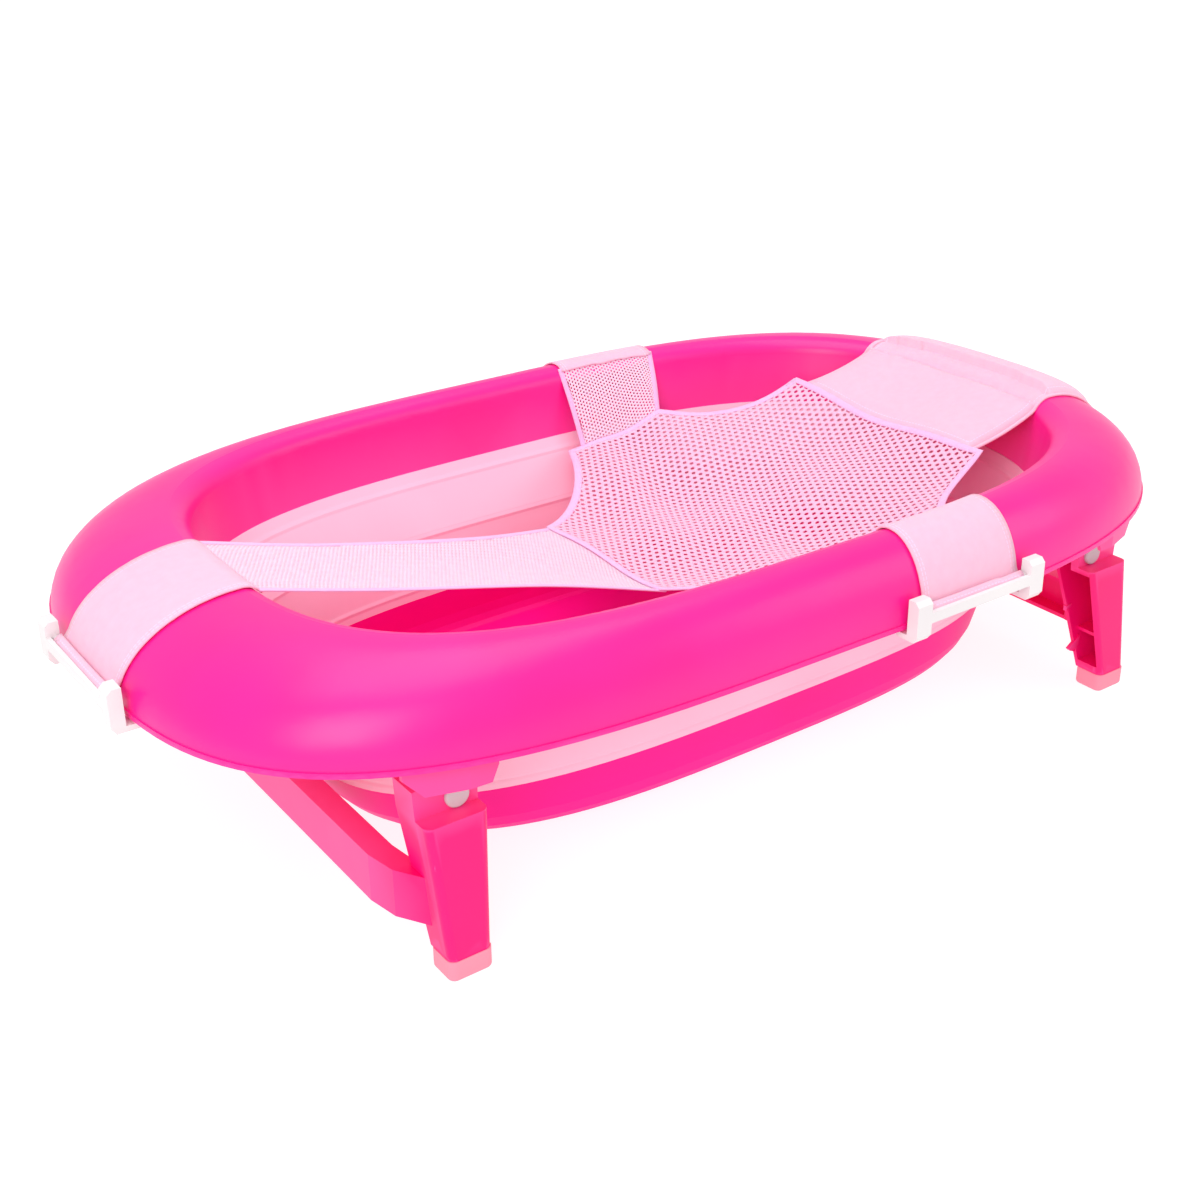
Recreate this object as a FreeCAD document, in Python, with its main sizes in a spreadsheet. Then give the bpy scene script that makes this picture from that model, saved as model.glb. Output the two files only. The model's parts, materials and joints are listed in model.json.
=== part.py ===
"""Collapsible baby bathtub with two folding leg frames and a bath support net.

Frame: origin on the floor under the middle of the tub, +X towards the head end, +Z up.
Sizes are in millimetres and live in the spreadsheet "dimensions".
"""

import FreeCAD, Part
import Sketcher
import math
import os
import re

from FreeCAD import Vector, Placement, Rotation

doc = FreeCAD.newDocument("baby_bathtub")
sheet = doc.addObject("Spreadsheet::Sheet", "dimensions")

DIMENSIONS = [
    ("tub_length", 820, "rim, end to end"),
    ("tub_width", 484, "rim, side to side at the middle"),
    ("lip_height", 138.7, "lower edge of the rim above the floor"),
    ("crest_height", 191, "top of the rim above the floor"),
    ("rim_wall", 3, "wall of the rim shell"),
    ("crest_side", 33.5, "crest line inside the outline, long sides"),
    ("crest_head", 66, "crest line inside the outline, head end"),
    ("crest_foot", 80.5, "crest line inside the outline, foot end"),
    ("crest_roll", 13, "radius from the crest into the inner wall"),
    ("crest_land", 2.4, "flat top of the crest"),
    ("wall_side", 54, "foot of the inner wall inside the outline, long sides"),
    ("wall_head", 88, "foot of the inner wall, head end"),
    ("wall_foot", 96, "foot of the inner wall, foot end"),
    ("rim_power_head", 2.6, "squareness of the rim's outline, head half"),
    ("rim_power_foot", 2.9, "squareness of the rim's outline, foot half"),
    ("rim_taper", 0.03, "widening towards the head end"),
    ("rim_spread", 0.12, "widening towards both ends"),
    ("bead_out", 0.8, "lip bead stands proud by this"),
    ("bead_down", 1, "lip bead hangs below the lip"),
    ("bead_up", 2.5, "lip bead reaches up the rim"),
    ("base_top", 50.5, "top of the basin's wall"),
    ("base_bottom", 12, "underside of the basin's floor"),
    ("base_wall", 3, "wall of the basin and of the fold band"),
    ("base_side", 94, "basin's wall inside the outline, long sides"),
    ("base_head", 119, "basin's wall inside the outline, head end"),
    ("base_foot", 120, "basin's wall inside the outline, foot end"),
    ("base_power_head", 3.5, "squareness of the basin, head half"),
    ("base_power_foot", 3.1, "squareness of the basin, foot half"),
    ("fold_height", 97, "crease of the fold band above the floor"),
    ("drain_place", 190, "drain's distance from the middle, towards the foot end"),
    ("drain_radius", 17, "hole in the basin's floor"),
    ("plug_radius", 16.4, "stopper's neck"),
    ("plug_flange", 21, "stopper's flange"),
    ("pin_place", 276, "hinge pin from the middle, along X"),
    ("pin_height", 106, "hinge pin above the floor"),
    ("pin_radius", 4, "hinge pin"),
    ("pin_clearance", 0.06, "running clearance of the pin in the tongue"),
    ("hinge_inner", 172, "inner face of the leg's head, along Y"),
    ("hinge_outer", 194, "outer face of the leg's head, along Y"),
    ("tongue_inner", 179, "inner face of the bracket's tongue"),
    ("tongue_outer", 187, "outer face of the bracket's tongue"),
    ("tongue_half", 10, "half the width of the tongue"),
    ("slot_gap", 0.5, "gap on each side of the tongue"),
    ("leg_top", 98, "shoulder of the leg above the floor"),
    ("cap_top", 14, "top of the foot cap above the floor"),
    ("leg_in_top", 262, "leg's inner edge at the shoulder, along X"),
    ("leg_out_top", 303, "leg's outer edge at the shoulder, along X"),
    ("leg_in_foot", 271, "leg's inner edge at the foot cap, along X"),
    ("leg_out_foot", 299, "leg's outer edge at the foot cap, along X"),
    ("foot_inner", 196, "leg's inboard face at the foot cap, along Y"),
    ("foot_outer", 219, "leg's outboard face at the foot cap, along Y"),
    ("shoulder_outer", 207, "leg's outboard face at the shoulder, along Y"),
    ("leg_wall", 3, "wall of the leg's open channel"),
    ("bar_inner", 300, "crossbar's inner face, along X"),
    ("bar_outer", 316, "crossbar's outer face, along X"),
    ("bar_low", 30, "crossbar's lower edge above the floor"),
    ("bar_high", 62, "crossbar's upper edge above the floor"),
    ("bar_straight", 158, "half the straight length of the crossbar"),
    ("bracket_in", 258, "hinge bracket's inner end, along X"),
    ("bracket_out", 312, "hinge bracket's outer end, along X"),
    ("bracket_deck", 5, "thickness of the bracket's deck"),
    ("bracket_inner", 160, "bracket's inner edge, along Y"),
    ("boss_outer", 200.5, "outer edge of the rim's bosses, along Y"),
    ("skirt_outer", 212.5, "bracket's skirt at its inner end, along Y"),
    ("skirt_turn", 199.5, "bracket's skirt at its outer end, along Y"),
    ("skirt_wall", 3, "wall of the bracket's skirt"),
    ("skirt_low", 118, "lower edge of the bracket's skirt above the floor"),
    ("pivot_cap_radius", 7.8, "cap over the pin's outer end"),
    ("pivot_cap_depth", 2.5, "cap over the pin's outer end"),
    ("knuckle_radius", 14, "round top of the leg about the pin"),
    ("screw_radius", 1.8, "bracket screw's shank"),
    ("screw_head", 3.6, "bracket screw's head"),
    ("screw_depth", 12, "screw's reach into the rim"),
    ("strap_width", 90, "strap ends of the net"),
    ("strap_thickness", 2, "strap ends of the net"),
    ("strap_gap", 0.8, "strap's clearance over the rim"),
    ("strap_tail", 23.5, "strap end stops this far above the lip"),
    ("near_strap", 86, "near strap's middle, along X"),
    ("far_strap", 110, "far strap's middle, along X"),
    ("net_thickness", 3, "mesh sheets"),
    ("seam_head", 245, "seam of net and head panel, along X"),
    ("seam_head_half", 105, "half the width of that seam"),
    ("seam_foot", -35, "seam of net and foot strap, along X"),
    ("seam_foot_half", 70, "half the width of that seam"),
    ("seam_side", 168, "side seams of the net, along Y"),
    ("panel_half", 94, "half the width of the head panel"),
    ("panel_thickness", 7, "padded head panel"),
    ("clip_gap", 2.2, "clip's clearance outside the outline"),
    ("clip_depth", 11, "clip's outer face outside the outline"),
    ("clip_low", -7.5, "clip's foot below the lip"),
    ("clip_high", 21, "top of the clip above the lip"),
    ("clip_block", 13, "width of each hook block"),
    ("clip_inside", 46.5, "hook block's inner face from the clip's middle"),
    ("hook_reach", 7, "hook's reach under the lip"),
    ("hook_top", -4, "top of the hook below the lip"),
    ("loop_bar_out", 4.6, "loop bar's centre outside the outline"),
    ("loop_bar_up", 9.5, "loop bar's centre above the lip"),
    ("loop_bar_radius", 1.8, "loop bar"),
    ("front_bar_low", 4, "front bar's lower edge above the lip"),
    ("front_bar_high", 11.5, "front bar's upper edge above the lip"),
    ("front_bar_depth", 3, "depth of the front bar"),
]
ALIASES = [row[0] for row in DIMENSIONS]


def fill_sheet():
    for number, (alias, value, note) in enumerate(DIMENSIONS, start=1):
        sheet.set("A%d" % number, alias)
        sheet.set("B%d" % number, str(value))
        sheet.set("C%d" % number, note)
        sheet.setAlias("B%d" % number, alias)
    doc.recompute()


fill_sheet()
D = {alias: float(sheet.get(alias)) for alias in ALIASES}


def bound(text):
    """An expression in which each alias is read from the sheet."""
    return re.sub(r"[a-z_]+", lambda m: "dimensions." + m.group(0) if m.group(0) in D else m.group(0), str(text))


# ---------------------------------------------------------------- outlines

def lerp(a, b, share):
    return a + (b - a) * share


RIM_PLAN = (D["rim_power_head"], D["rim_power_foot"], D["rim_taper"], D["rim_spread"])
BASE_PLAN = (D["base_power_head"], D["base_power_foot"], 0.0, 0.0)
FOLD_PLAN = tuple(lerp(a, b, 0.5) for a, b in zip(RIM_PLAN, BASE_PLAN))
HALF_LENGTH = D["tub_length"] / 2
HALF_WIDTH = D["tub_width"] / 2
RING_POINTS = 48


def widening(x, plan):
    return 1 + plan[2] * x / HALF_LENGTH + plan[3] * (x / HALF_LENGTH) ** 2


def ring(insets, z, plan=RIM_PLAN):
    """A rounded tub outline at height z, moved in by (side, head, foot) from the rim's outline."""
    side, head, foot = insets
    points = []
    for step in range(RING_POINTS):
        turn = 2 * math.pi * step / RING_POINTS
        c, s = math.cos(turn), math.sin(turn)
        power = plan[0] if c >= 0 else plan[1]
        reach = HALF_LENGTH - (head if c >= 0 else foot)
        scale = (abs(c) ** power + abs(s) ** power) ** (-1 / power)
        x = reach * c * scale
        y = (HALF_WIDTH - side) * s * scale * widening(x, plan)
        points.append(Vector(x, y, z))
    curve = Part.BSplineCurve()
    curve.interpolate(Points=points, PeriodicFlag=True)
    return Part.Wire([curve.toShape()])


def half_breadth(x, insets, plan=RIM_PLAN):
    """Y of an outline at x."""
    side, head, foot = insets
    power, reach = (plan[0], HALF_LENGTH - head) if x >= 0 else (plan[1], HALF_LENGTH - foot)
    return (HALF_WIDTH - side) * (1 - (abs(x) / reach) ** power) ** (1 / power) * widening(x, plan)


def half_reach(y, insets, end, plan=RIM_PLAN):
    """X of an outline at y, on the head end (end = 1) or foot end (end = -1)."""
    side, head, foot = insets
    power, reach = (plan[0], HALF_LENGTH - head) if end > 0 else (plan[1], HALF_LENGTH - foot)
    breadth = (HALF_WIDTH - side) * widening(end * reach, plan)
    return reach * (1 - (abs(y) / breadth) ** power) ** (1 / power)


def loft(rings, ruled=False):
    return Part.makeLoft(rings, True, ruled)


def prism(wire, height):
    return Part.Face(wire).extrude(Vector(0, 0, height))


def shifted(insets, by):
    return tuple(value + by for value in insets)


CREST = (D["crest_side"], D["crest_head"], D["crest_foot"])
WALL = (D["wall_side"], D["wall_head"], D["wall_foot"])
RISE = D["crest_height"] - D["lip_height"]


def shape_object(name, shape, placement=None):
    """A sub-part whose shape is worked out from the sheet's values."""
    piece = doc.addObject("Part::Feature", name)
    piece.Shape = shape
    if placement is not None:
        piece.Placement = placement
    piece.Label = name
    return piece


# ---------------------------------------------------------------- rim, fold band and basin

def outer_rings(crest, rise, start, land):
    """Rings up the rim's convex outer face, from the lip to the crest."""
    rings = []
    for angle in (0, 15, 30, 45, 60, 75, 90):
        turn = math.radians(angle)
        insets = [start + (value - start - land) * (1 - math.cos(turn)) for value in crest]
        rings.append(ring(insets, D["lip_height"] + rise * math.sin(turn)))
    return rings


def inner_tools(roll, wall, top, land):
    """Solids that fill the tub's opening up to an inner wall and its rounded top edge."""
    roll_base = D["crest_height"] - D["crest_roll"]
    side = [value + roll for value in CREST]
    below = D["lip_height"] - 6
    straight = loft([ring(wall, below), ring(side, roll_base)], ruled=True)
    rings = []
    for angle in (0, 20, 40, 60, 75, 90):
        turn = math.radians(angle)
        insets = [value + max(roll * math.cos(turn), land) for value in CREST]
        rings.append(ring(insets, roll_base + (top - roll_base) * math.sin(turn)))
    return [straight, loft(rings)]


def boss_boxes():
    """The four places under the rim where the hinge brackets are screwed on."""
    length = D["bracket_out"] - D["bracket_in"]
    width = D["boss_outer"] - D["bracket_inner"]
    boxes = []
    for end in (-1, 1):
        for side in (-1, 1):
            x = D["bracket_in"] if end > 0 else -D["bracket_out"]
            y = D["bracket_inner"] if side > 0 else -D["boss_outer"]
            boxes.append(Part.makeBox(length, width, RISE, Vector(x, y, D["lip_height"])))
    return boxes


def screw_places():
    inset = 7
    across = D["bracket_inner"] + 8
    for end in (-1, 1):
        for side in (-1, 1):
            for along in (D["bracket_in"] + inset, D["bracket_out"] - inset):
                yield Vector(end * along, side * across, 0)


def screw_holes(radius, low, high):
    return [Part.makeCylinder(radius, high - low, place + Vector(0, 0, low)) for place in screw_places()]


def make_rim():
    land = D["crest_land"] / 2
    wall = D["rim_wall"]
    body = loft(outer_rings(CREST, RISE, 0, land))
    bead_wire = ring((-D["bead_out"],) * 3, D["lip_height"] - D["bead_down"])
    body = body.fuse(prism(bead_wire, D["bead_down"] + D["bead_up"]))
    opening = inner_tools(D["crest_roll"], WALL, D["crest_height"], land)
    hollow = loft(outer_rings(CREST, RISE - wall, wall, land))
    skirt_room = prism(ring((wall,) * 3, D["lip_height"] - 6), 6)
    core = inner_tools(D["crest_roll"] - wall, shifted(WALL, -wall), D["crest_height"] - wall, land)
    hollow = hollow.fuse(skirt_room).cut(core).cut(boss_boxes())
    rim = body.cut(opening).cut(hollow)
    holes = screw_holes(D["screw_radius"], D["lip_height"] - 1, D["lip_height"] + D["screw_depth"])
    return rim.cut(holes)


def make_fold_band():
    """Flexible wall between the rim and the basin, with one crease half way down."""
    wall = D["base_wall"]
    base = (D["base_side"], D["base_head"], D["base_foot"])
    crease = tuple(lerp(a, b, 0.62) for a, b in zip(WALL, base))
    stations = [
        (base, D["base_top"], BASE_PLAN),
        (crease, D["fold_height"], FOLD_PLAN),
        (shifted(WALL, -wall), D["lip_height"] - D["bead_down"], RIM_PLAN),
    ]
    outside = loft([ring(insets, z, plan) for insets, z, plan in stations], ruled=True)
    inside = loft([ring(shifted(insets, wall), z, plan) for insets, z, plan in stations], ruled=True)
    return outside.cut(inside)


def basin_rings(offset, lift):
    """Rings from the basin's floor up its rounded edge to the top of its wall."""
    profile = [
        (0, 9, 33, 32),
        (2, 5, 26, 25),
        (7, 2.5, 19, 18.5),
        (15, 1, 11.5, 11.5),
        (D["base_top"] - D["base_bottom"], 0, 0, 0),
    ]
    rings = []
    for height, side, head, foot in profile:
        insets = (D["base_side"] + side + offset, D["base_head"] + head + offset, D["base_foot"] + foot + offset)
        share = (D["base_top"] - D["base_bottom"] - height) / (D["base_top"] - D["base_bottom"])
        rings.append(ring(insets, D["base_bottom"] + height + lift * share, BASE_PLAN))
    return rings


def make_basin():
    outside = loft(basin_rings(0, 0), ruled=True)
    inside = loft(basin_rings(D["base_wall"], D["base_wall"]), ruled=True)
    drain = Part.makeCylinder(D["drain_radius"], 3 * D["base_wall"],
                              Vector(-D["drain_place"], 0, D["base_bottom"] - D["base_wall"]))
    return outside.cut(inside).cut(drain)


shape_object("rim", make_rim())
shape_object("fold_band", make_fold_band())
shape_object("base_basin", make_basin())


# ---------------------------------------------------------------- sketches and bodies

def new_body(name):
    body = doc.addObject("PartDesign::Body", name + "_body")
    body.Label = name
    return body


def origin_plane(body, role):
    return next(item for item in body.Origin.OriginFeatures if item.Role == role)


def new_sketch(body, name, role="XY_Plane", offset=None):
    sketch = body.newObject("Sketcher::SketchObject", name)
    sketch.AttachmentSupport = [(origin_plane(body, role), "")]
    sketch.MapMode = "FlatFace"
    if offset is not None:
        sketch.setExpression("AttachmentOffset.Base.z", bound(offset))
    return sketch


def polygon(sketch, corners):
    """A closed outline whose corners are (x, y) expressions of the sheet."""
    count = len(corners)
    turns = [2 * math.pi * index / count for index in range(count)]
    guesses = [Vector(math.cos(turn), math.sin(turn), 0) for turn in turns]
    first = sketch.GeometryCount
    for index in range(count):
        sketch.addGeometry(Part.LineSegment(guesses[index], guesses[(index + 1) % count]), False)
    for index in range(count):
        follower = first + (index + 1) % count
        sketch.addConstraint(Sketcher.Constraint("Coincident", first + index, 2, follower, 1))
    for index, (x, y) in enumerate(corners):
        for kind, text in (("DistanceX", x), ("DistanceY", y)):
            number = sketch.addConstraint(Sketcher.Constraint(kind, -1, 1, first + index, 1, 1.0))
            sketch.setExpression("Constraints[%d]" % number, bound(text))
    return sketch


def rectangle(sketch, low_x, high_x, low_y, high_y):
    return polygon(sketch, [(low_x, low_y), (high_x, low_y), (high_x, high_y), (low_x, high_y)])


def circle(sketch, x, y, radius):
    index = sketch.addGeometry(Part.Circle(Vector(0, 0, 0), Vector(0, 0, 1), 1.0), False)
    for kind, text in (("DistanceX", x), ("DistanceY", y)):
        number = sketch.addConstraint(Sketcher.Constraint(kind, -1, 1, index, 3, 1.0))
        sketch.setExpression("Constraints[%d]" % number, bound(text))
    number = sketch.addConstraint(Sketcher.Constraint("Radius", index, 1.0))
    sketch.setExpression("Constraints[%d]" % number, bound(radius))
    return sketch


def grow(body, sketch, length, reverse=False):
    """Pad along the sketch's normal."""
    pad = body.newObject("PartDesign::Pad", sketch.Name + "_pad")
    pad.Profile = (sketch, [""])
    pad.setExpression("Length", bound(length))
    pad.Reversed = reverse
    return pad


def carve(body, sketch, length, reverse=True):
    """Pocket; with reverse it cuts along the sketch's normal."""
    pocket = body.newObject("PartDesign::Pocket", sketch.Name + "_pocket")
    pocket.Profile = (sketch, [""])
    pocket.setExpression("Length", bound(length))
    pocket.Reversed = reverse
    return pocket


def blend(body, low, high, cut=False):
    """Straight loft between two sketches, added or cut."""
    kind = "PartDesign::SubtractiveLoft" if cut else "PartDesign::AdditiveLoft"
    feature = body.newObject(kind, low.Name + "_loft")
    feature.Profile = (low, [""])
    feature.Sections = [(high, [""])]
    feature.Ruled = True
    return feature


def round_edges(body, radius, chosen):
    """Fillet on the edges of the body's present shape that pass the test."""
    doc.recompute()
    base = body.Tip
    names = ["Edge%d" % number for number, edge in enumerate(base.Shape.Edges, start=1) if chosen(edge)]
    fillet = body.newObject("PartDesign::Fillet", body.Name + "_fillet")
    fillet.Base = (base, names)
    fillet.setExpression("Radius", bound(radius))
    return fillet


def upright(edge, length):
    ends = edge.Vertexes
    return len(ends) == 2 and abs(ends[0].Z - ends[1].Z) > length


def mirrored(source, name, normal):
    mirror = doc.addObject("Part::Mirroring", name + "_mirror")
    mirror.Source = source
    mirror.Normal = normal
    mirror.Base = (0, 0, 0)
    mirror.Label = name
    return mirror


ACROSS = (0, 1, 0)
ALONG = (1, 0, 0)
PIECES = ["rim", "fold_band", "base_basin"]


def four_corners(source, stem):
    """The piece made for the head end's far side, and its mirror images at the other three corners."""
    source.Label = stem + "_head_far"
    near = mirrored(source, stem + "_head_near", ACROSS)
    mirrored(source, stem + "_foot_far", ALONG)
    mirrored(near, stem + "_foot_near", ALONG)
    PIECES.extend(stem + place for place in ("_head_far", "_head_near", "_foot_far", "_foot_near"))


# ---------------------------------------------------------------- leg frames

SPLAY = "(foot_inner - hinge_inner) / (leg_top - cap_top)"
BOX_LEAN = "(foot_outer - shoulder_outer) / (leg_top - cap_top)"
CHANNEL_LOW = "(cap_top + 6)"
CHANNEL_HIGH = "(leg_top - 4)"
CELLS = 6


def signed(side, low, high):
    """A span of Y on the far side (side = 1), or its mirror image on the near side."""
    return (low, high) if side > 0 else ("-(%s)" % high, "-(%s)" % low)


def make_crossbar(body):
    bend, lead = "(bar_straight + 22)", "(foot_inner + 4)"
    half = [
        ("bar_outer", "bar_straight"),
        ("bar_outer - 4", bend),
        ("leg_out_foot + 1", lead),
        ("leg_out_foot - 10", lead),
        ("bar_inner - 3", bend),
        ("bar_inner", "bar_straight"),
    ]
    other = [(x, "-(%s)" % y) for x, y in reversed(half)]
    grow(body, polygon(new_sketch(body, "bar_outline", offset="bar_low"), half + other), "bar_high - bar_low")
    cell = new_sketch(body, "bar_cell", offset="bar_low + leg_wall")
    pitch = "(2 * bar_straight + leg_wall) / %d" % CELLS
    rectangle(cell, "bar_inner - 6", "bar_outer - leg_wall", "-bar_straight", "-bar_straight + %s - leg_wall" % pitch)
    pocket = carve(body, cell, "bar_high - bar_low - 2 * leg_wall")
    cells = body.newObject("PartDesign::LinearPattern", "bar_cells")
    cells.Originals = [pocket]
    cells.Direction = (origin_plane(body, "Y_Axis"), [""])
    cells.setExpression("Length", bound("(2 * bar_straight + leg_wall) * %d / %d" % (CELLS - 1, CELLS)))
    cells.Occurrences = CELLS
    body.Tip = cells


def make_leg(body, side, tag):
    """One leg of the frame: a splayed leaf up to the pin, a box outboard of it, and the open channel inside."""
    foot_x = ("leg_in_foot", "leg_out_foot")
    top_x = ("leg_in_top", "leg_out_top")
    low = new_sketch(body, "leaf_low" + tag, offset="cap_top")
    rectangle(low, *foot_x, *signed(side, "foot_inner", "foot_inner + 16"))
    high = new_sketch(body, "leaf_high" + tag, offset="leg_top")
    rectangle(high, *top_x, *signed(side, "hinge_inner", "hinge_outer"))
    blend(body, low, high)
    low = new_sketch(body, "box_low" + tag, offset="cap_top")
    rectangle(low, *foot_x, *signed(side, "foot_inner + 4", "foot_outer"))
    high = new_sketch(body, "box_high" + tag, offset="leg_top")
    rectangle(high, *top_x, *signed(side, "hinge_outer - 8", "shoulder_outer"))
    blend(body, low, high)


def make_leg_head(body, side, tag):
    """The round knuckle that takes the pin, its slot for the bracket's tongue and its bore."""
    start = "-hinge_outer" if side > 0 else "hinge_inner"
    width = "hinge_outer - hinge_inner"
    shoulder = new_sketch(body, "shoulder" + tag, "XZ_Plane", start)
    polygon(shoulder, [
        ("leg_in_top", "leg_top"),
        ("leg_out_top", "leg_top"),
        ("leg_out_top + 1", "pin_height + 11"),
        ("pin_place", "pin_height + knuckle_radius"),
        ("leg_in_top", "pin_height"),
    ])
    grow(body, shoulder, width)
    grow(body, circle(new_sketch(body, "knuckle" + tag, "XZ_Plane", start), "pin_place", "pin_height",
                      "knuckle_radius"), width)
    low = new_sketch(body, "channel_low" + tag, offset=CHANNEL_LOW)
    inner = "foot_inner - %s * (%s - cap_top) + leg_wall" % (SPLAY, CHANNEL_LOW)
    outer = "foot_outer - %s * (%s - cap_top) - leg_wall" % (BOX_LEAN, CHANNEL_LOW)
    rectangle(low, "leg_in_foot - 12", "leg_out_foot - leg_wall", *signed(side, inner, outer))
    high = new_sketch(body, "channel_high" + tag, offset=CHANNEL_HIGH)
    inner = "foot_inner - %s * (%s - cap_top) + leg_wall" % (SPLAY, CHANNEL_HIGH)
    outer = "foot_outer - %s * (%s - cap_top) - leg_wall" % (BOX_LEAN, CHANNEL_HIGH)
    rectangle(high, "leg_in_top - 12", "leg_out_top - leg_wall", *signed(side, inner, outer))
    blend(body, low, high, cut=True)
    slot = new_sketch(body, "slot" + tag, offset="leg_top - 6")
    rectangle(slot, "leg_in_top - 12", "leg_out_top - leg_wall",
              *signed(side, "tongue_inner - slot_gap", "tongue_outer + slot_gap"))
    carve(body, slot, "pin_height + knuckle_radius - leg_top + 8")
    bore_start = "-hinge_outer - 1" if side > 0 else "hinge_inner - 1"
    bore = circle(new_sketch(body, "bore" + tag, "XZ_Plane", bore_start), "pin_place", "pin_height", "pin_radius")
    carve(body, bore, "hinge_outer - hinge_inner + 2")


def make_leg_details(body, side, tag):
    """The rib across the channel, the two teeth on the inner edge and the peg for the foot cap."""
    rib = new_sketch(body, "rib" + tag, offset="cap_top + 28")
    rectangle(rib, "leg_in_foot + 4", "leg_out_foot - 1",
              *signed(side, "foot_inner - %s * 28 + 1" % SPLAY, "foot_outer - %s * 28 - 1" % BOX_LEAN))
    grow(body, rib, "leg_wall - 0.5")
    for name, height, corners in (
        ("tooth", 16, [(3, 24), (3, 10), (-7, 14), (-9, 16)]),
        ("nib", 46, [(0, 49), (0, 42), (-6, 44), (-6, 48)]),
    ):
        inner = "(foot_inner - %s * %d)" % (SPLAY, height)
        start = "-(%s + leg_wall)" % inner if side > 0 else "%s" % inner
        outline = new_sketch(body, name + tag, "XZ_Plane", start)
        polygon(outline, [("leg_in_foot + (%g)" % x, "cap_top + %g" % z) for x, z in corners])
        grow(body, outline, "leg_wall")
    peg = new_sketch(body, "peg" + tag, offset="cap_top")
    rectangle(peg, "leg_in_foot + 8", "leg_out_foot - 8", *signed(side, "foot_inner + 7", "foot_outer - 6"))
    grow(body, peg, "cap_top - 5", reverse=True)


def make_leg_frame():
    body = new_body("leg_frame_head")
    make_crossbar(body)
    for side, tag in ((1, "_far"), (-1, "_near")):
        make_leg(body, side, tag)
    outboard = D["hinge_outer"] + 6
    round_edges(body, "leg_wall + 2", lambda edge: upright(edge, 60) and abs(edge.CenterOfMass.y) > outboard)
    for side, tag in ((1, "_far"), (-1, "_near")):
        make_leg_head(body, side, tag)
        make_leg_details(body, side, tag)
    mirrored(body, "leg_frame_foot", ALONG)
    PIECES.extend(["leg_frame_head", "leg_frame_foot"])


def make_foot_caps():
    """Soft cap pressed over the leg's peg; its bottom face stands on the floor."""
    body = new_body("foot_cap")
    outline = new_sketch(body, "cap_outline")
    rectangle(outline, "leg_in_foot - 0.5", "leg_out_foot + 0.5", "foot_inner - 0.5", "foot_outer + 0.5")
    grow(body, outline, "cap_top")
    round_edges(body, "leg_wall + 2", lambda edge: upright(edge, 5))
    round_edges(body, "leg_wall - 0.5", lambda edge: edge.BoundBox.ZMax < 0.01)
    hollow = new_sketch(body, "cap_hollow", offset="cap_top")
    rectangle(hollow, "leg_in_foot + 8", "leg_out_foot - 8", "foot_inner + 7", "foot_outer - 6")
    carve(body, hollow, "cap_top - 5", reverse=False)
    four_corners(body, "foot_cap")


# ---------------------------------------------------------------- hinges

def make_brackets():
    """Bracket screwed under the rim: a deck, a tongue that the leg turns on, and an outer skirt."""
    body = new_body("hinge_bracket")
    outer = [
        ("bracket_out", "skirt_turn"),
        ("bracket_out - 12", "skirt_turn + 4.5"),
        ("pin_place", "skirt_outer - 1"),
        ("bracket_in", "skirt_outer"),
    ]
    inner = [(x, "%s - skirt_wall" % y) for x, y in reversed(outer)]
    deck = new_sketch(body, "deck", offset="lip_height - bracket_deck")
    polygon(deck, [("bracket_in", "bracket_inner"), ("bracket_out", "bracket_inner")] + outer)
    grow(body, deck, "bracket_deck")
    skirt = new_sketch(body, "skirt", offset="skirt_low")
    polygon(skirt, outer + inner)
    grow(body, skirt, "lip_height - skirt_low - 1")
    for tag, near, far in (("_a", "bracket_out + 1", "bracket_out - 12"), ("_b", "bracket_in - 1", "bracket_in + 5")):
        corner = new_sketch(body, "skirt_corner" + tag, "XZ_Plane", "-skirt_outer - 1")
        polygon(corner, [(near, "skirt_low - 1"), (far, "skirt_low - 1"), (near, "skirt_low + 13")])
        carve(body, corner, "skirt_outer - boss_outer + 10")
    tongue = new_sketch(body, "tongue", "XZ_Plane", "-tongue_outer")
    rectangle(tongue, "pin_place - tongue_half", "pin_place + tongue_half", "pin_height",
              "lip_height - bracket_deck + 1")
    grow(body, tongue, "tongue_outer - tongue_inner")
    nose = new_sketch(body, "tongue_nose", "XZ_Plane", "-tongue_outer")
    grow(body, circle(nose, "pin_place", "pin_height", "tongue_half"), "tongue_outer - tongue_inner")
    bore = new_sketch(body, "tongue_bore", "XZ_Plane", "-tongue_outer - 1")
    circle(bore, "pin_place", "pin_height", "pin_radius + pin_clearance")
    carve(body, bore, "tongue_outer - tongue_inner + 2")
    holes = new_sketch(body, "deck_holes", offset="lip_height - bracket_deck - 1")
    for x in ("bracket_in + 7", "bracket_out - 7"):
        circle(holes, x, "bracket_inner + 8", "screw_radius")
    carve(body, holes, "bracket_deck + 2")
    four_corners(body, "hinge_bracket")


def make_pins():
    pin = doc.addObject("Part::Cylinder", "hinge_pin")
    pin.setExpression("Radius", bound("pin_radius"))
    pin.setExpression("Height", bound("hinge_outer - hinge_inner"))
    pin.Placement.Rotation = Rotation(Vector(1, 0, 0), -90)
    pin.setExpression("Placement.Base.x", bound("pin_place"))
    pin.setExpression("Placement.Base.y", bound("hinge_inner"))
    pin.setExpression("Placement.Base.z", bound("pin_height"))
    four_corners(pin, "hinge_pin")


def make_pivot_caps():
    """Domed cap on the outer end of each pin."""
    body = new_body("pivot_cap")
    disc = new_sketch(body, "disc", "XZ_Plane", "-hinge_outer - pivot_cap_depth")
    grow(body, circle(disc, "pin_place", "pin_height", "pivot_cap_radius"), "pivot_cap_depth")
    far_face = D["hinge_outer"] + 1
    round_edges(body, "pivot_cap_depth - 1", lambda edge: edge.CenterOfMass.y > far_face)
    four_corners(body, "pivot_cap")


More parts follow.
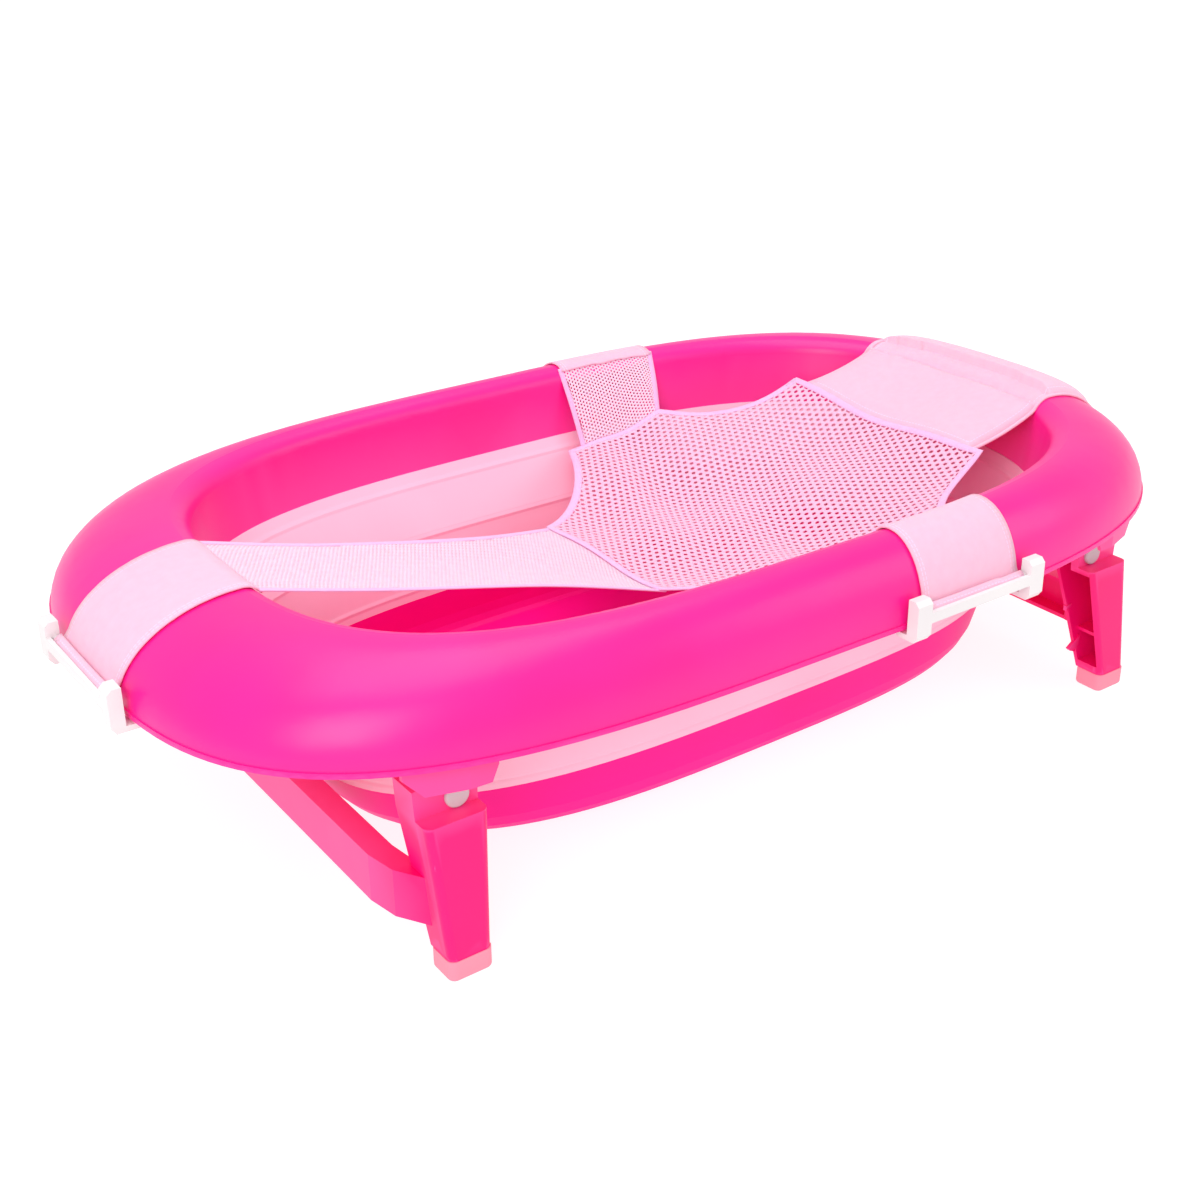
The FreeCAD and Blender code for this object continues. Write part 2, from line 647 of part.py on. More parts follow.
def make_screws():
    low = D["lip_height"] - D["bracket_deck"]
    head = screw_holes(D["screw_head"], low - 2.5, low)
    shank = screw_holes(D["screw_radius"], low, D["lip_height"] + D["screw_depth"] - 1)
    screws = [one.fuse(other).removeSplitter() for one, other in zip(head, shank)]
    shape_object("bracket_screws", Part.makeCompound(screws))
    PIECES.append("bracket_screws")


def make_drain_plug():
    """Stopper pulled up out of the basin's floor by its knob."""
    body = new_body("drain_plug")
    body.setExpression("Placement.Base.x", bound("-drain_place"))
    floor = "(base_bottom + base_wall)"
    outline = new_sketch(body, "stopper", "XZ_Plane")
    polygon(outline, [
        ("0", "base_bottom + 0.5"),
        ("plug_radius - 1", "base_bottom + 0.5"),
        ("plug_radius", floor),
        ("plug_flange", floor),
        ("plug_flange - 2", floor + " + 2.5"),
        ("6", floor + " + 2.5"),
        ("4.5", floor + " + 7"),
        ("7", floor + " + 10"),
        ("5", floor + " + 12"),
        ("0", floor + " + 12"),
    ])
    turn = body.newObject("PartDesign::Revolution", "stopper_turn")
    turn.Profile = (outline, [""])
    turn.ReferenceAxis = (outline, ["V_Axis"])
    turn.Angle = 360
    PIECES.append("drain_plug")


make_leg_frame()
make_foot_caps()
make_brackets()
make_pins()
make_pivot_caps()
make_screws()
make_drain_plug()


# ---------------------------------------------------------------- straps over the rim

NONE_IN = (0.0, 0.0, 0.0)


def rim_levels(outer_start, roll_end):
    """(insets, height) down the middle of a strap's path: up the outer face, over the crest, into the roll."""
    levels = []
    first = math.degrees(math.asin(outer_start / RISE))
    steps = 6
    for step in range(steps + 1):
        turn = math.radians(lerp(first, 90, step / steps))
        levels.append(([value * (1 - math.cos(turn)) for value in CREST], D["lip_height"] + RISE * math.sin(turn)))
    roll_base = D["crest_height"] - D["crest_roll"]
    for angle in (72, 54, 36, 18):
        if angle < roll_end:
            break
        turn = math.radians(angle)
        insets = [value + D["crest_roll"] * math.cos(turn) for value in CREST]
        levels.append((insets, roll_base + D["crest_roll"] * math.sin(turn)))
    return levels


def strap_section(place, levels, gap, thickness):
    """Closed section of a strap that lies on the rim; place gives (across, z) to a point in space."""
    spots = [(place["reach"](insets), z) for insets, z in levels]
    low, high = [], []
    for index, (across, z) in enumerate(spots):
        before, after = spots[max(index - 1, 0)], spots[min(index + 1, len(spots) - 1)]
        run = math.hypot(after[0] - before[0], after[1] - before[1])
        out = ((after[1] - before[1]) / run, -(after[0] - before[0]) / run)
        low.append(place["point"](across + out[0] * gap, z + out[1] * gap))
        high.append(place["point"](across + out[0] * (gap + thickness), z + out[1] * (gap + thickness)))
    return Part.makePolygon(low + high[::-1] + low[:1])


def side_place(x, side):
    return {"reach": lambda insets: half_breadth(x, insets), "point": lambda out, z: Vector(x, side * out, z)}


def end_place(y, end):
    return {"reach": lambda insets: half_reach(y, insets, end), "point": lambda out, z: Vector(end * out, y, z)}


def strap_on_rim(places, outer_start, roll_end, thickness):
    levels = rim_levels(outer_start, roll_end)
    sections = [strap_section(place, levels, D["strap_gap"], thickness) for place in places]
    return loft(sections, ruled=True)


def spread(middle, half, count=4):
    return [lerp(middle - half, middle + half, step / (count - 1)) for step in range(count)]


def make_strap_ends():
    half = D["strap_width"] / 2
    tail, thickness = D["strap_tail"], D["strap_thickness"]
    near = [side_place(x, -1) for x in spread(D["near_strap"], half)]
    far = [side_place(x, 1) for x in spread(D["far_strap"], half)]
    foot = [end_place(y, -1) for y in spread(0, half)]
    for name, places in (("near_strap_end", near), ("far_strap_end", far), ("foot_strap_end", foot)):
        shape_object(name, strap_on_rim(places, tail, 0, thickness))
        PIECES.append(name)


def make_head_panel():
    """Padded head panel: from the net's seam up to the rim, over the crest, and down to its clip as a strap."""
    half = D["panel_half"]
    thickness = D["panel_thickness"]
    over = strap_on_rim([end_place(y, 1) for y in spread(0, half, 12)], RISE * 0.62, 30, thickness - 2)
    tail = strap_on_rim([end_place(y, 1) for y in spread(0, D["strap_width"] / 2)], D["strap_tail"], 80,
                        D["strap_thickness"])
    edge = half_reach(half, shifted(CREST, D["crest_roll"]), 1)
    top = D["crest_height"]
    corners = [
        (D["seam_head"], 165),
        (edge - 16, top - 9),
        (edge + 9, top + 1.2),
        (edge + 9, top + 4.5),
        (edge - 18, top - 0.5),
        (D["seam_head"], 165 + thickness),
    ]
    points = [Vector(x, -half, z) for x, z in corners]
    inner = Part.Face(Part.makePolygon(points + points[:1])).extrude(Vector(0, 2 * half, 0))
    shape_object("head_panel", inner.fuse([over, tail]).removeSplitter())
    PIECES.append("head_panel")


# ---------------------------------------------------------------- sheets of the net inside the tub

def plan_prism(corners):
    points = [Vector(x, y, 0) for x, y in corners]
    return prism(Part.makePolygon(points + points[:1]), 2 * D["crest_height"])


def net_height(x, y):
    """Middle of the sagging net: low towards the foot strap, rising to the head panel and the side straps."""
    middle = 113.9 + 0.035 * (x - D["seam_foot"]) + 0.0010125 * (x - D["seam_foot"]) * (x - 110)
    return middle + 18 * (y / D["seam_side"]) ** 2


def make_net_mesh():
    columns = spread(105, 150, 9)
    rows = spread(0, D["seam_side"] + 6, 9)
    surface = Part.BSplineSurface()
    surface.interpolate([[Vector(x, y, net_height(x, y)) for y in rows] for x in columns])
    sheet_solid = surface.toShape().extrude(Vector(0, 0, D["net_thickness"]))
    half = D["strap_width"] / 2
    middle = 0.5 * (D["near_strap"] + D["far_strap"])
    side = D["seam_side"]
    far = [
        (D["seam_head"] - 1, D["seam_head_half"]),
        (middle + half, side),
        (middle - half, side),
        (D["seam_foot"], D["seam_foot_half"]),
    ]
    near = [(x, -y) for x, y in reversed(far)]
    shape_object("net_mesh", sheet_solid.common(plan_prism(far + near)))
    PIECES.append("net_mesh")


def band_solid(path, thickness, low_y, high_y):
    """A strip that follows a path in XZ, as wide as low_y to high_y."""
    low = [Vector(x, low_y, z) for x, z in path]
    high = [Vector(x, low_y, z + thickness) for x, z in path]
    face = Part.Face(Part.makePolygon(low + high[::-1] + low[:1]))
    return face.extrude(Vector(0, high_y - low_y, 0))


def make_foot_strap_mesh():
    edge = half_reach(0, shifted(CREST, D["crest_roll"]), -1)
    width = D["seam_foot_half"]
    path = [
        (D["seam_foot"] - 1, 117),
        (-110, 129.5),
        (-172, 144),
        (-250, 166),
        (3 - edge, 184),
    ]
    strip = band_solid(path, D["net_thickness"], -width, width)
    half = D["strap_width"] / 2
    corners = [(0, width), (D["seam_foot"], width), (-110, half + 3), (-250, half - 3), (-edge, half - 3)]
    plan = plan_prism(corners + [(x, -y) for x, y in reversed(corners)])
    shape_object("foot_strap_mesh", strip.common(plan))
    PIECES.append("foot_strap_mesh")


def make_side_strap_meshes():
    half = D["strap_width"] / 2
    for name, middle, side in (("near_strap_mesh", D["near_strap"], -1), ("far_strap_mesh", D["far_strap"], 1)):
        foot = (D["seam_side"] + 2, net_height(middle, D["seam_side"]) + D["net_thickness"] / 2)
        reach = min(half_breadth(middle + end * half, shifted(CREST, D["crest_roll"])) for end in (-1, 1))
        top = (reach - 2.5, D["crest_height"] - D["crest_roll"] + 2.5)
        run = math.hypot(top[0] - foot[0], top[1] - foot[1])
        aside = [(top[axis] - foot[axis]) * D["net_thickness"] / 2 / run for axis in (0, 1)]
        spots = [
            (foot[0] + aside[1], foot[1] - aside[0]),
            (top[0] + aside[1], top[1] - aside[0]),
            (top[0] - aside[1], top[1] + aside[0]),
            (foot[0] - aside[1], foot[1] + aside[0]),
        ]
        points = [Vector(middle - half, side * y, z) for y, z in spots]
        face = Part.Face(Part.makePolygon(points + points[:1]))
        shape_object(name, face.extrude(Vector(2 * half, 0, 0)))
        PIECES.append(name)


# ---------------------------------------------------------------- clips

def clip_stations():
    """Name and placement of each clip: its own Y points away from the rim, its X along the rim."""
    level = D["lip_height"]
    near = Vector(D["near_strap"], -half_breadth(D["near_strap"], NONE_IN), level)
    far = Vector(D["far_strap"], half_breadth(D["far_strap"], NONE_IN), level)
    head = Vector(half_reach(0, NONE_IN, 1), 0, level)
    foot = Vector(-half_reach(0, NONE_IN, -1), 0, level)
    for name, base, turn, crest in (
        ("near", near, 180, CREST[0]),
        ("far", far, 0, CREST[0]),
        ("head", head, -90, CREST[1]),
        ("foot", foot, 90, CREST[2]),
    ):
        yield name, Placement(base, Rotation(Vector(0, 0, 1), turn)), crest


def make_clip(name, placement):
    """Two hook blocks joined by a front bar and by the round bar that the strap's loop turns on."""
    body = new_body(name + "_clip")
    outline = [
        ("clip_gap", "clip_high"),
        ("clip_gap", "hook_top"),
        ("-hook_reach", "hook_top"),
        ("-hook_reach", "clip_low"),
        ("clip_depth - 3", "clip_low"),
        ("clip_depth", "clip_low + 4"),
        ("clip_depth", "clip_high - 3"),
        ("clip_depth - 3", "clip_high"),
    ]
    for tag, offset in (("_a", "clip_inside"), ("_b", "-clip_inside - clip_block")):
        block = new_sketch(body, name + "_block" + tag, "YZ_Plane", offset)
        grow(body, polygon(block, outline), "clip_block")
        if tag == "_a":
            front = new_sketch(body, name + "_front_bar", "YZ_Plane", "-clip_inside - 1")
            rectangle(front, "clip_depth - front_bar_depth", "clip_depth", "front_bar_low", "front_bar_high")
            grow(body, front, "2 * clip_inside + 2")
            back = new_sketch(body, name + "_loop_bar", "YZ_Plane", "-clip_inside - 1")
            circle(back, "loop_bar_out", "loop_bar_up", "loop_bar_radius")
            grow(body, back, "2 * clip_inside + 2")
    body.Placement = placement
    PIECES.append(name + "_clip")


def make_loop(name, placement, crest):
    """Last stretch of a strap: it hangs from the strap end and is sewn round the clip's bar."""
    half = D["strap_width"] / 2
    top = D["strap_tail"] - 1.2
    rise = math.sqrt(1 - (top / RISE) ** 2)
    start = -crest * (1 - rise) + D["strap_gap"]
    bar = Vector(-half, D["loop_bar_out"], D["loop_bar_up"])
    wrap = D["loop_bar_radius"] + 0.3 + D["strap_thickness"] / 2
    along = Vector(1, 0, 0)
    inner = bar.y - wrap
    spots = [
        (inner, bar.z),
        (start, top),
        (start + D["strap_thickness"], top),
        (inner + D["strap_thickness"], bar.z + 2),
        (bar.y, bar.z + wrap - 0.2),
        (bar.y, bar.z),
    ]
    points = [Vector(-half, y, z) for y, z in spots]
    web = Part.Face(Part.makePolygon(points + points[:1])).extrude(along * 2 * half)
    ring_solid = Part.makeCylinder(wrap, 2 * half, bar, along)
    core = Part.makeCylinder(D["loop_bar_radius"] + 0.3, 2 * half, bar, along)
    shape_object(name + "_strap_loop", web.fuse(ring_solid).cut(core).removeSplitter(), placement)
    PIECES.append(name + "_strap_loop")


make_strap_ends()
make_head_panel()
make_net_mesh()
make_foot_strap_mesh()
make_side_strap_meshes()
for station, spot, crest_inset in clip_stations():
    make_clip(station, spot)
    make_loop(station, spot, crest_inset)


# ---------------------------------------------------------------- checks and files

def checked_pieces():
    doc.recompute()
    for item in doc.Objects:
        if "Invalid" in item.State or "Error" in item.State:
            raise RuntimeError("%s failed: %s" % (item.Label, item.State))
    by_label = {item.Label: item for item in doc.Objects}
    pieces = [(name, by_label[name]) for name in PIECES]
    for name, piece in pieces:
        if piece.Shape.isNull() or not piece.Shape.isValid():
            raise RuntimeError("%s has no valid shape" % name)
    return pieces


def write_parts():
    os.makedirs("parts", exist_ok=True)
    for name, piece in checked_pieces():
        piece.Shape.exportStep("parts/%s.step" % name)


write_parts()
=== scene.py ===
"""Looks of the collapsible baby bathtub: moulded plastics, the net's mesh and cloth, and studio light.

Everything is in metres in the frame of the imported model: +X to the head end, +Z up, floor at z = 0.
"""

import json
import math

import bmesh
import bpy
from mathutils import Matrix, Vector
from mathutils.bvhtree import BVHTree


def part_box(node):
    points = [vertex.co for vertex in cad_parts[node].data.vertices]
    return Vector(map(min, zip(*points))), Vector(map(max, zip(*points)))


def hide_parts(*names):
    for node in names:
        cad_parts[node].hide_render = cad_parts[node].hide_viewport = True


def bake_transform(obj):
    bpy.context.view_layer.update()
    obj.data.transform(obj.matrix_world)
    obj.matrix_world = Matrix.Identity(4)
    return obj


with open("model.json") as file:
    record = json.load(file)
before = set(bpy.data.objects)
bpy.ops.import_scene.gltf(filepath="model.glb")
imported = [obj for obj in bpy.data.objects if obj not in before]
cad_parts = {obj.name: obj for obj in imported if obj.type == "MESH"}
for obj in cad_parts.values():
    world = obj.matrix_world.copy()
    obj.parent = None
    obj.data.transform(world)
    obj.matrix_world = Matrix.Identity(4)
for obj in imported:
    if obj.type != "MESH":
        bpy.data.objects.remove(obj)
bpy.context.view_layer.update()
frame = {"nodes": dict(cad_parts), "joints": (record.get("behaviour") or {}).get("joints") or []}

NODES = frame["nodes"]
MM = 0.001


# ---------------------------------------------------------------- shader helpers

def new_material(name):
    material = bpy.data.materials.new(name)
    material.use_nodes = True
    return material, material.node_tree, material.node_tree.nodes["Principled BSDF"]


def add(tree, kind, **values):
    node = tree.nodes.new(kind)
    for key, value in values.items():
        if hasattr(node, key):
            setattr(node, key, value)
        else:
            node.inputs[key.replace("_", " ")].default_value = value
    return node


def calc(tree, operation, a, b=None):
    """A Math node whose inputs are sockets or numbers."""
    node = tree.nodes.new("ShaderNodeMath")
    node.operation = operation
    for socket, value in zip(node.inputs, (a, b)):
        if value is None:
            continue
        if hasattr(value, "links"):
            tree.links.new(value, socket)
        else:
            socket.default_value = value
    return node.outputs[0]


def noise(tree, coordinates, scale, detail=3.0, roughness=0.55):
    node = tree.nodes.new("ShaderNodeTexNoise")
    node.inputs["Scale"].default_value = scale
    node.inputs["Detail"].default_value = detail
    node.inputs["Roughness"].default_value = roughness
    tree.links.new(coordinates, node.inputs["Vector"])
    return node.outputs["Fac"]


def ramp(tree, value, low, high, at=(0.35, 0.65)):
    """Two colours mixed by a value between two positions."""
    node = tree.nodes.new("ShaderNodeValToRGB")
    for element, place, colour in zip(node.color_ramp.elements, at, (low, high)):
        element.position = place
        element.color = (*colour, 1.0)
    tree.links.new(value, node.inputs["Fac"])
    return node.outputs["Color"]


def spread(tree, value, low, high):
    """A value from 0 to 1 stretched over a range."""
    node = tree.nodes.new("ShaderNodeMapRange")
    node.inputs["To Min"].default_value = low
    node.inputs["To Max"].default_value = high
    tree.links.new(value, node.inputs["Value"])
    return node.outputs["Result"]


def painted(tree, mask, body, colour):
    """A colour laid over another one where the mask is 1."""
    mix = tree.nodes.new("ShaderNodeMix")
    mix.data_type = "RGBA"
    tree.links.new(mask, mix.inputs[0])
    tree.links.new(body, mix.inputs[6])
    mix.inputs[7].default_value = (*colour, 1.0)
    return mix.outputs[2]


def bump(tree, shader, height, distance, strength=1.0):
    node = tree.nodes.new("ShaderNodeBump")
    node.inputs["Distance"].default_value = distance
    node.inputs["Strength"].default_value = strength
    tree.links.new(height, node.inputs["Height"])
    tree.links.new(node.outputs["Normal"], shader.inputs["Normal"])


def plastic(name, colour, tint, roughness, grain=0.00002, edge=None, coat=0.0, gleam=0.4):
    """Moulded plastic: faint flow marks in the colour, fine grain in the gloss, and a painted highlight: a
    paler colour on sharp convex edges.
    """
    material, tree, shader = new_material(name)
    place = add(tree, "ShaderNodeTexCoord").outputs["Object"]
    flow = noise(tree, place, 9.0, 2.0)
    body = ramp(tree, flow, colour, tint)
    # Painted highlight: a paler colour laid on sharp convex edges, found by their pointiness.
    if edge is not None:
        geometry = add(tree, "ShaderNodeNewGeometry")
        painted_edge_highlight = ramp(tree, geometry.outputs["Pointiness"], (0, 0, 0), (1, 1, 1), (0.53, 0.60))
        body = painted(tree, painted_edge_highlight, body, edge)
    tree.links.new(body, shader.inputs["Base Color"])
    fine = noise(tree, place, 900.0, 2.0)
    smudge = noise(tree, place, 22.0, 4.0)
    gloss = spread(tree, smudge, roughness - 0.05, roughness + 0.06)
    tree.links.new(gloss, shader.inputs["Roughness"])
    bump(tree, shader, fine, grain, 0.6)
    shader.inputs["Specular IOR Level"].default_value = gleam
    shader.inputs["Coat Weight"].default_value = coat
    shader.inputs["Coat Roughness"].default_value = 0.25
    return material


STITCH_PITCH = 3.2 * MM
STITCH_SHARE = 0.72
STITCH_HALF_WIDTH = 0.45 * MM


def layer_uv(tree, name):
    """The two coordinates of a UV map, in metres."""
    split = add(tree, "ShaderNodeSeparateXYZ")
    uv_map = add(tree, "ShaderNodeUVMap", uv_map=name)
    tree.links.new(uv_map.outputs["UV"], split.inputs[0])
    return uv_map.outputs["UV"], split.outputs["X"], split.outputs["Y"]


def stitch_masks(tree, rows):
    """Masks of the sewn rows, whole and as single stitches, at distances from the cloth's edge."""
    _, along, inwards = layer_uv(tree, "edge")
    phase = calc(tree, "FRACT", calc(tree, "DIVIDE", along, STITCH_PITCH))
    dash = calc(tree, "LESS_THAN", phase, STITCH_SHARE)
    line = None
    for row in rows:
        offset = calc(tree, "ABSOLUTE", calc(tree, "SUBTRACT", inwards, row))
        near = calc(tree, "LESS_THAN", offset, STITCH_HALF_WIDTH)
        line = near if line is None else calc(tree, "MAXIMUM", line, near)
    return line, calc(tree, "MULTIPLY", dash, line)


def cloth(name, colour, shade, pitch, stitch_rows=(), thread=None, relief=0.00018):
    """Woven cloth on the UV map, in metres: warp and weft ribs, and stitches along the edges."""
    material, tree, shader = new_material(name)
    weave, along, across = layer_uv(tree, "weave")
    turn = 2 * math.pi / pitch
    warp = calc(tree, "SINE", calc(tree, "MULTIPLY", along, turn))
    weft = calc(tree, "SINE", calc(tree, "MULTIPLY", across, turn))
    ribs = spread(tree, calc(tree, "MULTIPLY", warp, weft), 0.35, 0.65)
    slub = noise(tree, weave, 140.0, 3.0)
    tone = calc(tree, "ADD", calc(tree, "MULTIPLY", ribs, 0.5), calc(tree, "MULTIPLY", slub, 0.5))
    body = ramp(tree, tone, shade, colour, (0.3, 0.62))
    height = calc(tree, "ADD", ribs, calc(tree, "MULTIPLY", slub, 0.6))
    if stitch_rows:
        line, stitched = stitch_masks(tree, stitch_rows)
        body = painted(tree, stitched, body, thread)
        height = calc(tree, "SUBTRACT", height, calc(tree, "MULTIPLY", line, 0.8))
        height = calc(tree, "ADD", height, stitched)
    tree.links.new(body, shader.inputs["Base Color"])
    shader.inputs["Roughness"].default_value = 0.82
    shader.inputs["Sheen Weight"].default_value = 0.18
    shader.inputs["Sheen Roughness"].default_value = 0.5
    shader.inputs["Subsurface Weight"].default_value = 0.12
    shader.inputs["Subsurface Scale"].default_value = 0.004
    bump(tree, shader, height, relief, 0.8)
    return material


def metal(name):
    material, tree, shader = new_material(name)
    place = add(tree, "ShaderNodeTexCoord").outputs["Object"]
    body = ramp(tree, noise(tree, place, 400.0), (0.42, 0.42, 0.44), (0.62, 0.62, 0.64))
    tree.links.new(body, shader.inputs["Base Color"])
    shader.inputs["Metallic"].default_value = 1.0
    tree.links.new(spread(tree, noise(tree, place, 900.0), 0.25, 0.4), shader.inputs["Roughness"])
    return material


# ---------------------------------------------------------------- colours (linear)

HOT_PINK = (0.96, 0.008, 0.275)
HOT_PINK_DEEP = (0.94, 0.006, 0.250)
# Legs: their own pink plastic with painted shade. The colour is set darker and redder than the rim's pink,
# as the legs look in the shade under the rim.
LEG_PINK_IN_PAINTED_SHADE = (0.92, 0.001, 0.175)
LEG_PINK_DEEP_IN_PAINTED_SHADE = (0.90, 0.002, 0.165)
BASIN_PINK = (0.98, 0.002, 0.290)
BASIN_PINK_DEEP = (0.96, 0.001, 0.265)
SOFT_PINK = (0.99, 0.520, 0.680)
SOFT_PINK_DEEP = (0.98, 0.480, 0.640)
FOOT_PINK = (0.93, 0.290, 0.390)
FOOT_PINK_DEEP = (0.90, 0.250, 0.350)
CLOTH_PINK = (0.94, 0.490, 0.640)
CLOTH_SHADE = (0.91, 0.440, 0.590)
LILAC = (0.86, 0.490, 0.760)
LILAC_SHADE = (0.80, 0.430, 0.700)
NET_PINK = (0.94, 0.490, 0.680)
NET_PINK_SHADE = (0.90, 0.430, 0.620)
FINE_PINK = (0.94, 0.630, 0.780)
FINE_PINK_SHADE = (0.89, 0.550, 0.710)
WHITE = (0.80, 0.755, 0.76)

# The edge colours given to the rim and the legs are painted highlights on their sharp convex edges.
RIM_MATERIAL = plastic("rim_plastic", HOT_PINK, HOT_PINK_DEEP, 0.34, edge=(0.98, 0.07, 0.38))
BASIN_MATERIAL = plastic("basin_plastic", BASIN_PINK, BASIN_PINK_DEEP, 0.42, gleam=0.2)
# Plastic of the legs and the hinge bracket: the leg pink with its painted shade.
LEG_MATERIAL_IN_PAINTED_SHADE = plastic("leg_plastic", LEG_PINK_IN_PAINTED_SHADE, LEG_PINK_DEEP_IN_PAINTED_SHADE, 0.38, edge=(0.98, 0.06, 0.30), gleam=0.3)
BAND_MATERIAL = plastic("band_elastomer", SOFT_PINK, SOFT_PINK_DEEP, 0.48, grain=0.00004)
FOOT_MATERIAL = plastic("foot_elastomer", FOOT_PINK, FOOT_PINK_DEEP, 0.55, grain=0.00006)
CLIP_MATERIAL = plastic("clip_plastic", WHITE, (0.76, 0.71, 0.72), 0.34, coat=0.2)
CAP_MATERIAL = plastic("cap_plastic", (0.62, 0.55, 0.58), (0.55, 0.48, 0.52), 0.42)
PLUG_MATERIAL = plastic("plug_elastomer", (0.86, 0.82, 0.84), (0.80, 0.76, 0.79), 0.6)
STEEL_MATERIAL = metal("pin_steel")

CAD_LOOKS = {
    "rim": RIM_MATERIAL,
    "fold_band": BAND_MATERIAL,
    "base_basin": BASIN_MATERIAL,
    "leg_frame": LEG_MATERIAL_IN_PAINTED_SHADE,
    "hinge_bracket": LEG_MATERIAL_IN_PAINTED_SHADE,
    "foot_cap": FOOT_MATERIAL,
    "pivot_cap": CAP_MATERIAL,
    "hinge_pin": STEEL_MATERIAL,
    "bracket_screws": STEEL_MATERIAL,
    "drain_plug": PLUG_MATERIAL,
    "near_clip": CLIP_MATERIAL,
    "far_clip": CLIP_MATERIAL,
    "head_clip": CLIP_MATERIAL,
    "foot_clip": CLIP_MATERIAL,
}


def dress_cad():
    for name, node in NODES.items():
        for stem, material in CAD_LOOKS.items():
            if name.startswith(stem):
                node.data.materials.clear()
                node.data.materials.append(material)


dress_cad()

STITCH = (0.95, 0.56, 0.74)
STRAP_MATERIAL = cloth("strap_cloth", CLOTH_PINK, CLOTH_SHADE, 0.0011, (0.003, 0.0055), STITCH)
PANEL_MATERIAL = cloth("panel_cloth", CLOTH_PINK, CLOTH_SHADE, 0.0010, (0.005,), STITCH, 0.00012)
BINDING_MATERIAL = cloth("binding_tape", LILAC, LILAC_SHADE, 0.0009)
TRIM_MATERIAL = cloth("trim_tape", CLOTH_PINK, CLOTH_SHADE, 0.0009)
NET_MATERIAL = cloth("net_yarn", NET_PINK, NET_PINK_SHADE, 0.0008)
FINE_MATERIAL = cloth("fine_mesh_yarn", FINE_PINK, FINE_PINK_SHADE, 0.0007)


# ---------------------------------------------------------------- meshes

def finish_piece(piece, material, smooth=True):
    piece.data.materials.append(material)
    for face in piece.data.polygons:
        face.use_smooth = smooth


def new_piece(name, vertices, faces):
    mesh = bpy.data.meshes.new(name)
    mesh.from_pydata([tuple(v) for v in vertices], [], faces)
    mesh.validate()
    mesh.update()
    piece = bpy.data.objects.new(name, mesh)
    bpy.context.scene.collection.objects.link(piece)
    return piece


def apply_modifiers(piece):
    bpy.context.view_layer.update()
    graph = bpy.context.evaluated_depsgraph_get()
    mesh = bpy.data.meshes.new_from_object(piece.evaluated_get(graph))
    piece.modifiers.clear()
    piece.data = mesh


def thicken(piece, thickness):
    modifier = piece.modifiers.new("thickness", "SOLIDIFY")
    modifier.thickness = thickness
    modifier.offset = 0.0
    modifier.use_even_offset = False
    apply_modifiers(piece)


def distances(points):
    """How far along a line each of its points is."""
    result = [0.0]
    for before, after in zip(points, points[1:]):
        result.append(result[-1] + (after - before).length)
    return result


def forwards(points):
    """The direction of a line at each of its points."""
    last = len(points) - 1
    return [points[min(k + 1, last)] - points[max(k - 1, 0)] for k in range(last + 1)]


def ribbon(name, rows, thickness):
    """A cloth strip whose rows of points run across it; the UV maps hold metres along and across."""
    count = len(rows[0])
    vertices = [point for row in rows for point in row]
    along = distances([row[count // 2] for row in rows])
    across = [distances(row) for row in rows]
    faces = []
    for i in range(len(rows) - 1):
        for j in range(count - 1):
            a = i * count + j
            faces.append((a, a + 1, a + count + 1, a + count))
    piece = new_piece(name, vertices, faces)
    weave = piece.data.uv_layers.new(name="weave")
    edge = piece.data.uv_layers.new(name="edge")
    for loop in piece.data.loops:
        i, j = divmod(loop.vertex_index, count)
        from_side = min(across[i][j], across[i][-1] - across[i][j])
        from_end = along[-1] - along[i]
        weave.data[loop.index].uv = (along[i], across[i][j])
        at_side = from_side < from_end
        edge.data[loop.index].uv = (along[i], from_side) if at_side else (across[i][j], from_end)
    thicken(piece, thickness)
    return piece


def tape(name, path, normals, width, height, sides=10):
    """A flattened tube along a path: a folded binding tape or a hem."""
    vertices, faces = [], []
    count = len(path)
    length = distances(path)
    for point, normal, forward in zip(path, normals, forwards(path)):
        side = normal.cross(forward).normalized()
        up = forward.cross(side).normalized()
        for step in range(sides):
            turn = 2 * math.pi * step / sides
            vertices.append(point + side * (width / 2 * math.cos(turn))
                            + up * (height / 2 * math.sin(turn)))
    for index in range(count - 1):
        for step in range(sides):
            a = index * sides + step
            b = index * sides + (step + 1) % sides
            faces.append((a, b, b + sides, a + sides))
    faces.append(tuple(reversed(range(sides))))
    faces.append(tuple((count - 1) * sides + step for step in range(sides)))
    piece = new_piece(name, vertices, faces)
    weave = piece.data.uv_layers.new(name="weave")
    for loop in piece.data.loops:
        index, step = divmod(loop.vertex_index, sides)
        weave.data[loop.index].uv = (length[index], step * width / sides)
    return piece


def inside(polygon, x, y, margin=0.0):
    """Whether a point is inside a convex or concave outline, at least margin from its edges."""
    hit = False
    nearest = 1e9
    for (ax, ay), (bx, by) in zip(polygon, polygon[1:] + polygon[:1]):
        if (ay > y) != (by > y) and x < (bx - ax) * (y - ay) / (by - ay) + ax:
            hit = not hit
        run = (bx - ax, by - ay)
        share = ((x - ax) * run[0] + (y - ay) * run[1]) / max(run[0] ** 2 + run[1] ** 2, 1e-12)
        share = min(max(share, 0.0), 1.0)
        nearest = min(nearest, math.hypot(x - ax - share * run[0], y - ay - share * run[1]))
    return hit and nearest >= margin


SAME_CORNER = 0.05  # cell corners closer together than this share of the pitch are one
CELL_MARGIN = 0.25  # middles of cells stay this share of the pitch inside the outline


